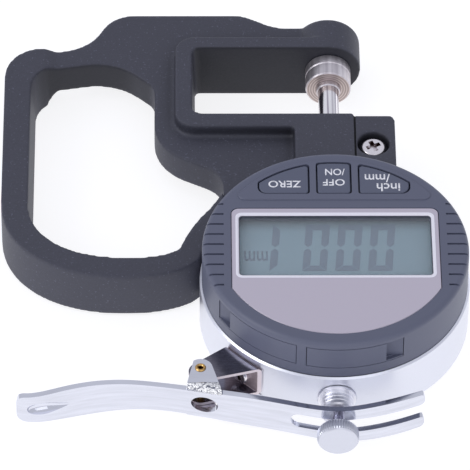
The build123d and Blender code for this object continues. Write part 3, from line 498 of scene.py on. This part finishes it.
def rounded_corners(corners, radii, steps=10):
    """A closed outline of straight runs with its corners rounded, walked anticlockwise.

    Each corner becomes an arc tangent to both runs: its centre lies on the bisector, at radius over
    the sine of half the corner's inner angle.
    """
    corners = np.asarray(corners, float)
    points = []
    for i, radius in enumerate(radii):
        here = corners[i]
        back = corners[i - 1] - here
        ahead = corners[(i + 1) % len(corners)] - here
        back /= np.linalg.norm(back)
        ahead /= np.linalg.norm(ahead)
        half = math.acos(np.clip(back @ ahead, -1, 1)) / 2
        bisector = (back + ahead) / np.linalg.norm(back + ahead)
        middle = here + bisector * radius / math.sin(half)
        start = here + back * radius / math.tan(half) - middle
        sweep = math.pi - 2 * half
        turns = np.linspace(0, sweep, steps)
        cos, sin = np.cos(turns), np.sin(turns)
        points.append(middle + np.stack([start[0] * cos - start[1] * sin,
                                         start[0] * sin + start[1] * cos], axis=-1))
    return np.vstack(points)


def slab(outline, low, high):
    """A flat outline made a closed slab between two heights: top, bottom and sides."""
    count = len(outline)
    points = np.vstack([at_height(outline, low), at_height(outline, high)])
    faces = [list(f) for f in loop_faces(2, count)]
    faces.append(list(range(count - 1, -1, -1)))
    faces.append(list(range(count, 2 * count)))
    return points, faces


def join_parts(parts):
    """Several sets of points and faces made one."""
    points, faces, start = [], [], 0
    for part_points, part_faces in parts:
        points.append(np.asarray(part_points, float))
        faces += [[start + i for i in f] for f in part_faces]
        start += len(part_points)
    return np.vstack(points), faces


def digit_bars(character, width, height, stroke):
    """Outlines of a seven-bar digit about its own centre, reading upwards along Y.

    The top bar is a trapezoid whose slanted ends meet the upright bars' ends at 45 degrees, and each
    upright bar has a point at the digit's middle. The other bars are these two turned or mirrored. The
    middle bar is off in both digits that the display shows.
    """
    x, y = width / 2, height / 2
    gap = 0.05 * stroke
    waist = 0.12 * stroke
    top = np.array([(x - gap, y), (-x + gap, y), (-x + stroke + gap, y - stroke),
                    (x - stroke - gap, y - stroke)])
    right = np.array([(x, y - gap), (x - stroke, y - stroke - gap), (x - stroke, waist + stroke / 2),
                      (x - stroke / 2, waist), (x, waist + stroke / 2)])
    bars = {"a": top, "b": right, "c": (right * (1, -1))[::-1], "d": -top, "e": -right,
            "f": (right * (-1, 1))[::-1]}
    lit = {"0": "abcdef", "1": "bc"}[character]
    return [bars[name] for name in lit]


def merged_copy(node):
    """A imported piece's mesh as a new object: its loose triangles are joined."""
    work = bmesh.new()
    work.from_mesh(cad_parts[node].data)
    bmesh.ops.remove_doubles(work, verts=work.verts, dist=0.002 * MM)
    mesh = bpy.data.meshes.new(node + "_rounded")
    work.to_mesh(mesh)
    work.free()
    piece = bpy.data.objects.new(mesh.name, mesh)
    bpy.context.scene.collection.objects.link(piece)
    return piece


def coordinates(mesh):
    """The places of a mesh's points, one row each."""
    flat = np.empty(len(mesh.vertices) * 3)
    mesh.vertices.foreach_get("co", flat)
    return flat.reshape(-1, 3)


def wall_directions(mesh):
    """For each point of a mesh, the mean direction of its upright faces, as a unit vector or nought."""
    normals = np.empty(len(mesh.polygons) * 3)
    mesh.polygons.foreach_get("normal", normals)
    normals = normals.reshape(-1, 3)
    normals[np.abs(normals[:, 2]) > 0.3] = 0
    corners = np.empty(len(mesh.polygons), int)
    mesh.polygons.foreach_get("loop_total", corners)
    at = np.empty(len(mesh.loops), int)
    mesh.loops.foreach_get("vertex_index", at)
    total = np.zeros((len(mesh.vertices), 3))
    np.add.at(total, at, np.repeat(normals, corners, axis=0))
    return total / np.maximum(np.linalg.norm(total, axis=1), 1e-9)[:, None]


def round_edges(piece, node, cell, passes):
    """Rounds a solid piece's edges: it is remeshed in small cells, and then its points are averaged.

    In each pass a point moves part of the way to the middle of its neighbours. Flat faces stay flat, and
    an edge ends with a radius of about one cell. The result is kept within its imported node's box.
    """
    cells = piece.modifiers.new("cells", "REMESH")
    cells.mode = "VOXEL"
    cells.voxel_size = cell
    ease = piece.modifiers.new("ease", "SMOOTH")
    ease.factor = 0.5
    ease.iterations = passes
    context = bpy.context.evaluated_depsgraph_get()
    mesh = bpy.data.meshes.new_from_object(piece.evaluated_get(context))
    piece.modifiers.clear()
    low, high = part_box(node)
    places = np.clip(coordinates(mesh), low, high)
    mesh.vertices.foreach_set("co", places.ravel())
    mesh.shade_smooth()
    piece.data = mesh


def cut_slots(piece, solids):
    """Cuts closed solids out of a piece and applies the cut."""
    points, faces = join_parts(solids)
    mesh = bpy.data.meshes.new("cutter")
    mesh.from_pydata(points.tolist(), [], [list(map(int, f)) for f in faces])
    cutter = bpy.data.objects.new("cutter", mesh)
    bpy.context.scene.collection.objects.link(cutter)
    cut = piece.modifiers.new("slots", "BOOLEAN")
    cut.operation = "DIFFERENCE"
    cut.solver = "MANIFOLD"
    cut.object = cutter
    context = bpy.context.evaluated_depsgraph_get()
    result = bpy.data.meshes.new_from_object(piece.evaluated_get(context))
    piece.modifiers.clear()
    piece.data = result
    bpy.data.objects.remove(cutter)
    result.shade_smooth()
    result.set_sharp_from_angle(angle=math.radians(60))


def top_of(node):
    """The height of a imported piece's top, in metres."""
    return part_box(node)[1].z


class GAUGE_OT_casting(Operator):
    """Rounds the casting's edges, gives its inner walls their draft, and finishes it in enamel"""
    bl_idname = "gauge.casting"
    bl_label = "Casting"

    def execute(self, context):
        piece = merged_copy("frame")
        mesh = piece.data
        places, walls = coordinates(mesh), wall_directions(mesh)
        foot_height = 1.0 * MM
        hole_right, throat_right = -50 * MM, -20 * MM
        faces_right = walls[:, 0] > 0.05
        foot = (places[:, 2] < foot_height) & faces_right
        hole = foot & (places[:, 0] < hole_right)
        throat = foot & (places[:, 0] > hole_right) & (places[:, 0] < throat_right)
        places[hole, 0] += sizes().hole_draft * walls[hole, 0]
        places[throat, 0] += sizes().throat_draft * walls[throat, 0]
        mesh.vertices.foreach_set("co", places.ravel())
        round_edges(piece, "frame", sizes().edge_round, passes=6)
        low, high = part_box("frame")
        seam_left, seam_right, seam_far = 5.05 * MM, 5.5 * MM, 49.5 * MM
        seam_depth = 0.8 * MM
        seam = [(seam_left, 0), (seam_right, 0), (seam_right, seam_far), (seam_left, seam_far)]
        cut_slots(piece, [slab(seam, level - seam_depth, level + seam_depth) for level in (high.z, low.z)])
        piece.data.materials.clear()
        piece.data.materials.append(textured_enamel())
        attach(piece, "root")
        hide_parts("frame")
        return {"FINISHED"}


def add_case_rim(material):
    """Fills the case's flat above and below the bracket, so that the flat ends where the bracket does.

    Each fill is the sliver between the case's circle and the flat's chord, whose half angle is the arc
    cosine of the flat's distance over the radius.
    """
    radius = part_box("case")[1].x
    low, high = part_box("case")[0].z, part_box("case")[1].z
    bracket_low, bracket_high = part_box("lever_bracket")[0].z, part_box("lever_bracket")[1].z
    flat_depth, bracket_gap = 0.5 * MM, 0.3 * MM
    chamfer, overlap = 0.4 * MM, 0.05 * MM
    flat = radius - flat_depth
    bracket_angle = 226.8
    middle = math.radians(bracket_angle)
    half = math.acos(flat / radius)
    turns = np.linspace(middle - half, middle + half, 40)
    arc = np.stack([np.cos(turns), np.sin(turns)], axis=-1)
    chord = (flat - overlap) / np.cos(turns - middle)
    upper = [(bracket_high + bracket_gap, radius), (high - chamfer, radius), (high, radius - chamfer)]
    lower = [(low, radius), (bracket_low - bracket_gap, radius)]
    parts = []
    for levels in (upper, lower):
        loops = []
        for level, outer in levels:
            inner = np.minimum(chord, outer - overlap)
            ring = np.vstack([arc * outer, (arc * inner[:, None])[::-1]])
            loops.append(at_height(ring, level))
        count = len(loops[0])
        faces = [list(f) for f in loop_faces(len(loops), count)]
        faces.append(list(range(count - 1, -1, -1)))
        faces.append([(len(loops) - 1) * count + i for i in range(count)])
        parts.append((np.vstack(loops), faces))
    points, faces = join_parts(parts)
    add_piece("case_rim_fill", points, faces, material, "root", "satin_nickel", 40)


class GAUGE_OT_bush(Operator):
    """Makes the stepped bush with its flange and turned rings"""
    bl_idname = "gauge.bush"
    bl_label = "Spindle bush"

    def execute(self, context):
        low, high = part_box("spindle_bush")
        span = high.y - low.y
        flange = (high.x - low.x) / 2
        flange_rise = 0.5 * MM
        barrel = flange - flange_rise
        bore = 2.35 * MM
        step = 4.1 * MM
        chamfer_in, chamfer_along = 0.35 * MM, 0.3 * MM
        groove_starts = np.array([0.9, 1.9, 2.9]) * MM
        groove_depth, groove_slope, groove_floor = 0.09 * MM, 0.12 * MM, 0.18 * MM
        rows = [(bore, 0), (barrel - chamfer_in, 0), (barrel, chamfer_along)]
        for start in groove_starts:
            bottom = start + groove_slope
            rows += [(barrel, start), (barrel - groove_depth, bottom),
                     (barrel - groove_depth, bottom + groove_floor),
                     (barrel, bottom + groove_floor + groove_slope)]
        rows += [(barrel, step), (flange, step), (flange, span), (bore, span)]
        count = 96
        turn = np.linspace(0, 2 * math.pi, count, endpoint=False)
        loops = [np.column_stack([radius * np.cos(turn), np.full(count, low.y + along),
                                  AXIS_HEIGHT + radius * np.sin(turn)]) for radius, along in rows]
        points, faces = closed_band(loops)
        material = satin_metal("turned_nickel_plate", linear("#f4f4fa"), 0.36, size=0.14,
                               stretch=(0.15, 4.0, 0.15), depth=0.01)
        piece = add_piece("turned_bush", points, faces, material, "root", "satin_nickel", 24)
        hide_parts("spindle_bush")
        return {"FINISHED"}


class GAUGE_OT_metalwork(Operator):
    """Finishes the case, the turned pieces and the screws"""
    bl_idname = "gauge.metalwork"
    bl_label = "Metalwork"

    def execute(self, context):
        look = finishes()
        satin = satin_metal("satin_nickel_plate", look.satin, 0.34)
        dress(["case", "back_cover"], satin)
        dress(["spindle", "stem", "guide_rod"], polished_rod())
        dress(["fixed_anvil", "moving_anvil"], ground_steel())
        dress(["clamp_screw", "back_screws", "bezel_screws", "bracket_screw"], plated_screw())
        wire = satin_metal("drawn_spring_steel", linear("#a59da0"), 0.3)
        dress(["return_spring", "retaining_ring", "lever_spring"], wire)
        dress(["battery"], satin_metal("nickel_plated_cell", linear("#a59da0"), 0.3))
        brass = satin_metal("bright_brass", look.brass, 0.3)
        dress(["lever_pivot", "battery_contact"], brass)
        dress(["lever_bracket"], bracket_sheet())
        add_case_rim(satin)
        return {"FINISHED"}


class GAUGE_OT_lever(Operator):
    """Finishes the lift lever in bright chrome"""
    bl_idname = "gauge.lever"
    bl_label = "Lever"

    def execute(self, context):
        dress(["lever"], bright_chrome())
        return {"FINISHED"}


class GAUGE_OT_knob(Operator):
    """Makes the lift knob with its straight knurl and chamfers"""
    bl_idname = "gauge.knob"
    bl_label = "Lift knob"

    def execute(self, context):
        low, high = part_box("lift_knob")
        centre = Vector(((low.x + high.x) / 2, 0, (low.z + high.z) / 2))
        radius = (high.x - low.x) / 2
        span = high.y - low.y
        depth = sizes().knurl_depth
        chamfer_in, chamfer_along = 0.32 * MM, 0.192 * MM
        band_start = chamfer_along + 1.2 * depth
        face_ring = 0.4 * radius
        near = [(0, 0), (face_ring, 0), (radius - chamfer_in - depth, 0), (radius - depth, chamfer_along),
                (radius, band_start)]
        far = [(along, span - height) for along, height in near[::-1]]
        profile = np.array(near + far)
        ridge = np.zeros(len(profile) - 2)
        ridge[3:5] = 1.0
        per_ridge = 6
        count = sizes().knurl_count * per_ridge

        def knurl(turn):
            """A triangle wave round the knob, cut into the band's rows only."""
            wave = np.abs(((turn * sizes().knurl_count / (2 * math.pi)) % 1) * 2 - 1)
            return -depth * ridge[:, None] * wave[None, :]

        points, faces = lathe(profile, count, knurl)
        turned = np.column_stack([points[:, 0] + centre.x, low.y + points[:, 2], points[:, 1] + centre.z])
        faces = [f[::-1] for f in faces]
        material = satin_metal("satin_nickel_knob", linear("#d6d8e2"), 0.3)
        piece = add_piece("knurled_knob", turned, faces, material, "measuring_spindle", "satin_nickel", 24)
        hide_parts("lift_knob")
        return {"FINISHED"}


class GAUGE_OT_head(Operator):
    """Finishes the display head's shell, doors, keys and inner pieces"""
    bl_idname = "gauge.head"
    bl_label = "Display head"

    def execute(self, context):
        look = finishes()
        dress(["bezel", "port_cover", "battery_cover"], moulded_shell("spark_textured_abs", look.shell))
        dress(["zero_button", "power_button", "unit_button"], moulded_shell("moulded_key_abs", look.keys))
        black = plain_finish("black_nylon", linear("#1c1c20"), 0.5)
        dress(["head_base", "guide_carriage", "data_port"], black)
        dress(["button_pad", "lcd_connector"], plain_finish("keypad_rubber", linear("#26262a"), 0.7))
        dress(["display_board", "sensor_board"], plain_finish("solder_mask", linear("#1f5a38"), 0.4))
        dress(["scale_strip"], plain_finish("etched_glass_epoxy", linear("#b5a670"), 0.3))
        return {"FINISHED"}


class GAUGE_OT_display(Operator):
    """Makes the display: its reflector, the bars that are on, and the front glass"""
    bl_idname = "gauge.display"
    bl_label = "Display"

    def execute(self, context):
        look = finishes()
        low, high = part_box("lcd")
        corners = [(low.x, low.y), (high.x, low.y), (high.x, high.y), (low.x, high.y)]
        corner = 0.8 * MM
        outline = rounded_corners(corners, [corner] * 4)
        film = 0.55 * MM
        reflect_top = low.z + film
        glass_gap = 0.3 * MM
        ink = 0.03 * MM
        shade_start, shade_end = 6.6 * MM, 9.3 * MM
        reflector, tree, shader = new_material("display_reflector_film")
        fine = grain(tree, 0.5)
        tone = mix_colour(tree, fine, rgba(look.reflector, 0.97), rgba(look.reflector, 1.03))
        shade = narrowed(tree, along(tree, "Y"), shade_start, shade_end, 0.0, 0.85)
        tone = mix_colour(tree, shade, tone, rgba(look.reflector, 0.42))
        tree.links.new(tone, shader.inputs["Base Color"])
        shader.inputs["Roughness"].default_value = 0.45
        back = add_piece("display_reflector", *slab(outline, low.z, reflect_top), reflector,
                         "display_head", "display_glass")
        dark = plain_finish("display_segment_ink", look.segment, 0.5)
        height, pitch = sizes().digit_height, sizes().digit_pitch
        stroke = 1.62 * MM
        width = 5.15 * MM
        middle_y = 1.9 * MM
        first_x = 9.82 * MM
        slant = 0.075
        parts = []
        for place, character in enumerate("0001"):
            centre = np.array([first_x - place * pitch, middle_y])
            for bar in digit_bars(character, width, height, stroke):
                flat = np.column_stack([-bar[:, 0] - bar[:, 1] * slant, -bar[:, 1]]) + centre
                parts.append(slab(flat, reflect_top, reflect_top + ink))
        dot = 0.35 * MM
        dot_place = np.array([6.8 * MM, 8.7 * MM])
        dot_outline = dot_place + np.array([(-dot, -dot), (dot, -dot), (dot, dot), (-dot, dot)])
        parts.append(slab(dot_outline, reflect_top, reflect_top + ink))
        points, faces = join_parts(parts)
        digits = add_piece("display_digits", points, faces, dark, "display_head", "display_glass", 20)
        unit_place = (-16.75 * MM, -0.45 * MM)
        unit_height, unit_width = 2.9 * MM, 5.0 * MM
        unit = add_words("display_unit", "mm", unit_place, unit_height, unit_width, reflect_top, dark,
                         "display_head")
        front = add_piece("display_front_glass", *slab(outline, reflect_top + glass_gap, high.z),
                          clear_plate(), "display_head", "display_glass")
        for piece in (back, digits, unit, front):
            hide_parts("lcd")
        return {"FINISHED"}


class GAUGE_OT_cover_plate(Operator):
    """Makes the D-shaped cover plate: silver print, white window border and the clear window"""
    bl_idname = "gauge.cover_plate"
    bl_label = "Cover plate"

    def execute(self, context):
        look = finishes()
        low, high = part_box("lens")
        half = high.x
        arc = abs(low.y)
        far = high.y
        corner = 1.5 * MM
        border_low = np.array([-21.05, -8.9]) * MM
        border_high = np.array([21.05, 10.1]) * MM
        window_low = np.array([-20.35, -8.1]) * MM
        window_high = np.array([20.35, 9.3]) * MM
        centre = np.array([0, 0.5]) * MM
        angles = np.linspace(0, 2 * math.pi, 900, endpoint=False)
        start = math.atan2(-math.sqrt(arc**2 - half**2), half)
        sweep = np.linspace(math.pi - start, 2 * math.pi + start, 200)
        bottom = arc * np.stack([np.cos(sweep), np.sin(sweep)], axis=-1)
        shoulders = rounded_corners([(half, -far), (half, far), (-half, far), (-half, -far)],
                                    [0.01 * MM, corner, corner, 0.01 * MM])
        shoulders = shoulders[shoulders[:, 1] > bottom[0, 1]]
        outline = resample(np.vstack([bottom, shoulders]), centre, angles)

        def box_loop(low_corner, high_corner, radius):
            """A rounded rectangle, met by the rays that all loops share."""
            corners = [low_corner, (high_corner[0], low_corner[1]), high_corner,
                       (low_corner[0], high_corner[1])]
            return resample(rounded_corners(corners, [radius] * 4), centre, angles)

        outer = box_loop(border_low, border_high, 1.3 * MM)
        inner = box_loop(window_low, window_high, 0.8 * MM)
        wall_thickness = 0.15 * MM
        well = box_loop(window_low + wall_thickness, window_high - wall_thickness, 0.7 * MM)
        chamfer = 0.12 * MM
        border_seat = 0.02 * MM
        shrink = 1 - chamfer / arc
        top, under = high.z, low.z
        loops = [at_height(inner, under), at_height(outer, top - border_seat), at_height(outer, top),
                 at_height(outline * shrink, top), at_height(outline, top - chamfer),
                 at_height(outline, under)]
        silver, tree, shader = new_material("silver_print_under_acrylic")
        fine = grain(tree, 0.15)
        tone = mix_colour(tree, fine, rgba(look.panel, 0.97), rgba(look.panel, 1.03))
        tree.links.new(tone, shader.inputs["Base Color"])
        shader.inputs["Roughness"].default_value = 0.3
        shader.inputs["Metallic"].default_value = 0.15
        plate = add_piece("cover_plate", *closed_band(loops), silver, "display_head", "silver_panel", 20)
        edge = plain_finish("white_border_print", look.border, 0.3)
        # Shares of the way from the border's inner line to its outer one, and heights over the plate.
        crown = ((0, -0.2), (0, -0.12), (1 / 3, 0.03), (2 / 3, 0.06), (1, 0.02), (1, -0.04))
        rim = [at_height(inner + (outer - inner) * share, top + height * MM) for share, height in crown]
        border = add_piece("window_border", *closed_band(rim), edge, "display_head", "silver_panel", 60)
        shade = plain_finish("dark_window_wall", linear("#4a4d5a"), 0.6)
        floor_level = top_of("lcd")
        well_drop, inner_drop = 0.2 * MM, 0.16 * MM
        wall = [at_height(well, floor_level), at_height(well, top - well_drop),
                at_height(inner, top - inner_drop), at_height(inner, floor_level)]
        well_wall = add_piece("window_wall", *closed_band(wall), shade, "display_head", "silver_panel", 40)
        pane_thickness = 0.35 * MM
        pane = add_piece("clear_window", *slab(well[::6], under, under + pane_thickness), clear_plate(),
                         "display_head", "silver_panel", 20)
        for piece in (plate, border, well_wall, pane):
            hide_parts("lens")
        return {"FINISHED"}


def add_words(name, words, centre, height, width, base, material, body):
    """Words as a thin raised print that reads from the far side.

    The filled outline, a little bolder than the font's own, is made a mesh and scaled to its width and
    height. Changing the sign of x and y turns each point by half a turn. One modifier joins the points
    that lie together, and another gives the flat shape its thickness.
    """
    text = bpy.data.curves.new(name, "FONT")
    text.body = words
    text.resolution_u = 4
    text.offset = 0.012
    holder = bpy.data.objects.new(name, text)
    bpy.context.scene.collection.objects.link(holder)
    bpy.context.view_layer.update()
    mesh = bpy.data.meshes.new_from_object(holder.evaluated_get(bpy.context.evaluated_depsgraph_get()))
    bpy.data.objects.remove(holder)
    places = coordinates(mesh)
    low, high = places.min(0), places.max(0)
    scale = np.array([width / (high[0] - low[0]), height / (high[1] - low[1])])
    flat = (places[:, :2] - (low + high)[:2] / 2) * -scale + centre
    mesh.vertices.foreach_set("co", at_height(flat, base).ravel())
    mesh.materials.clear()
    mesh.materials.append(material)
    piece = bpy.data.objects.new(name, mesh)
    bpy.context.scene.collection.objects.link(piece)
    weld = piece.modifiers.new("weld", "WELD")
    weld.merge_threshold = 0.001 * MM
    wall = piece.modifiers.new("thickness", "SOLIDIFY")
    wall.thickness = sizes().print_thickness
    wall.offset = 1.0
    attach(piece, body)
    return piece


class GAUGE_OT_labels(Operator):
    """Prints the keys' words"""
    bl_idname = "gauge.labels"
    bl_label = "Key labels"

    def execute(self, context):
        ink = plain_finish("white_pad_print", finishes().lettering, 0.5)
        words = (
            ("zero_words", "ZERO", "zero", (-10.45, 18.35), 2.0, 6.95),
            ("power_words_first", "OFF", "power", (0.0, 18.85), 1.95, 4.7),
            ("power_words_second", "/ON", "power", (0.3, 21.95), 1.95, 4.2),
            ("unit_words_first", "inch", "unit", (11.6, 17.4), 2.4, 5.0),
            ("unit_words_second", "/mm", "unit", (9.3, 20.1), 2.45, 5.4),
        )
        for name, text, key, centre, height, width in words:
            top = top_of(key + "_button")
            place = (centre[0] * MM, centre[1] * MM)
            add_words(name, text, place, height * MM, width * MM, top, ink, key + "_key")
        return {"FINISHED"}


class GAUGE_OT_stage(Operator):
    """Sets up the floor, the soft lights and the camera"""
    bl_idname = "gauge.stage"
    bl_label = "Stage"

    def execute(self, context):
        reach = 3.0
        level = -0.02 * MM
        corners = [(-reach, -reach), (reach, -reach), (reach, reach), (-reach, reach)]
        floor = bpy.data.meshes.new("floor")
        floor.from_pydata(at_height(corners, level).tolist(), [], [(0, 1, 2, 3)])
        ground = bpy.data.objects.new("floor", floor)
        context.scene.collection.objects.link(ground)
        paper, tree, shader = new_material("white_paper")
        shader.inputs["Base Color"].default_value = rgba(linear("#9a9aa0"))
        shader.inputs["Roughness"].default_value = 1.0
        shader.inputs["Emission Color"].default_value = rgba(linear("#ffffff"))
        shader.inputs["Emission Strength"].default_value = 0.8
        floor.materials.append(paper)
        world = bpy.data.worlds.new("studio")
        world.use_nodes = True
        sky = world.node_tree.nodes["Background"]
        sky.inputs["Color"].default_value = rgba(linear("#eef0fa"))
        sky.inputs["Strength"].default_value = 0.76
        context.scene.world = world
        for name, place, power, size in (
            ("left_softbox", (-1.0, -0.35, 0.7), 4.0, 0.7),
            ("front_fill", (0.3, -1.0, 0.6), 1.2, 0.8),
        ):
            light = bpy.data.lights.new(name, "AREA")
            light.energy = power
            light.size = size
            lamp = bpy.data.objects.new(name, light)
            lamp.location = place
            aim = Vector((-0.01, 0.02, 0.01)) - Vector(place)
            lamp.rotation_euler = aim.to_track_quat("-Z", "Y").to_euler()
            context.scene.collection.objects.link(lamp)
        add_camera(context)
        context.scene.view_settings.view_transform = "Standard"
        return {"FINISHED"}


def add_camera(context):
    """The photograph's camera: a long lens that looks down on the gauge from its knob's side."""
    focal_pixels = 5430.0
    down, yaw, roll = (math.radians(a) for a in (45.92, 0.87, 0.56))
    place = Vector((-33.254, -792.854, 845.521)) * MM
    right, forward = Vector((1, 0, 0)), Vector((0, math.cos(down), -math.sin(down)))
    up = Vector((0, math.sin(down), math.cos(down)))
    rolled_right = right * math.cos(roll) + up * math.sin(roll)
    rolled_up = up * math.cos(roll) - right * math.sin(roll)
    turn = Matrix.Rotation(-yaw, 3, "Z")
    axes = [turn @ axis for axis in (rolled_right, rolled_up, -forward)]
    view = bpy.data.cameras.new("photo_view")
    view.sensor_width = SENSOR_MM
    view.lens = focal_pixels * SENSOR_MM / PHOTO_WIDTH
    camera = bpy.data.objects.new("photo_view", view)
    context.scene.collection.objects.link(camera)
    camera.matrix_world = Matrix.Translation(place) @ Matrix(axes).transposed().to_4x4()
    context.scene.camera = camera


OPERATORS = (GAUGE_OT_casting, GAUGE_OT_metalwork, GAUGE_OT_bush, GAUGE_OT_lever, GAUGE_OT_knob,
             GAUGE_OT_head, GAUGE_OT_display, GAUGE_OT_cover_plate, GAUGE_OT_labels, GAUGE_OT_stage)


class GAUGE_PT_panel(Panel):
    """Lists the gauge's steps and settings"""
    bl_idname = "GAUGE_PT_panel"
    bl_label = "Thickness gauge"
    bl_space_type = "VIEW_3D"
    bl_region_type = "UI"
    bl_category = "Gauge"

    def draw(self, context):
        for settings in (context.scene.gauge_sizes, context.scene.gauge_finishes):
            box = self.layout.box()
            for name in settings.__annotations__:
                box.prop(settings, name)
        for operator in OPERATORS:
            self.layout.operator(operator.bl_idname)


CLASSES = (GaugeFinishes, GaugeSizes, *OPERATORS, GAUGE_PT_panel)


def register():
    """Adds the classes and the scene's settings."""
    for item in CLASSES:
        bpy.utils.register_class(item)
    bpy.types.Scene.gauge_sizes = PointerProperty(type=GaugeSizes)
    bpy.types.Scene.gauge_finishes = PointerProperty(type=GaugeFinishes)


def unregister():
    """Takes the settings and classes away."""
    del bpy.types.Scene.gauge_finishes
    del bpy.types.Scene.gauge_sizes
    for item in reversed(CLASSES):
        bpy.utils.unregister_class(item)


def main():
    """Builds every piece in order."""
    register()
    for operator in OPERATORS:
        group, name = operator.bl_idname.split(".")
        getattr(getattr(bpy.ops, group), name)()


if __name__ == "__main__":
    main()
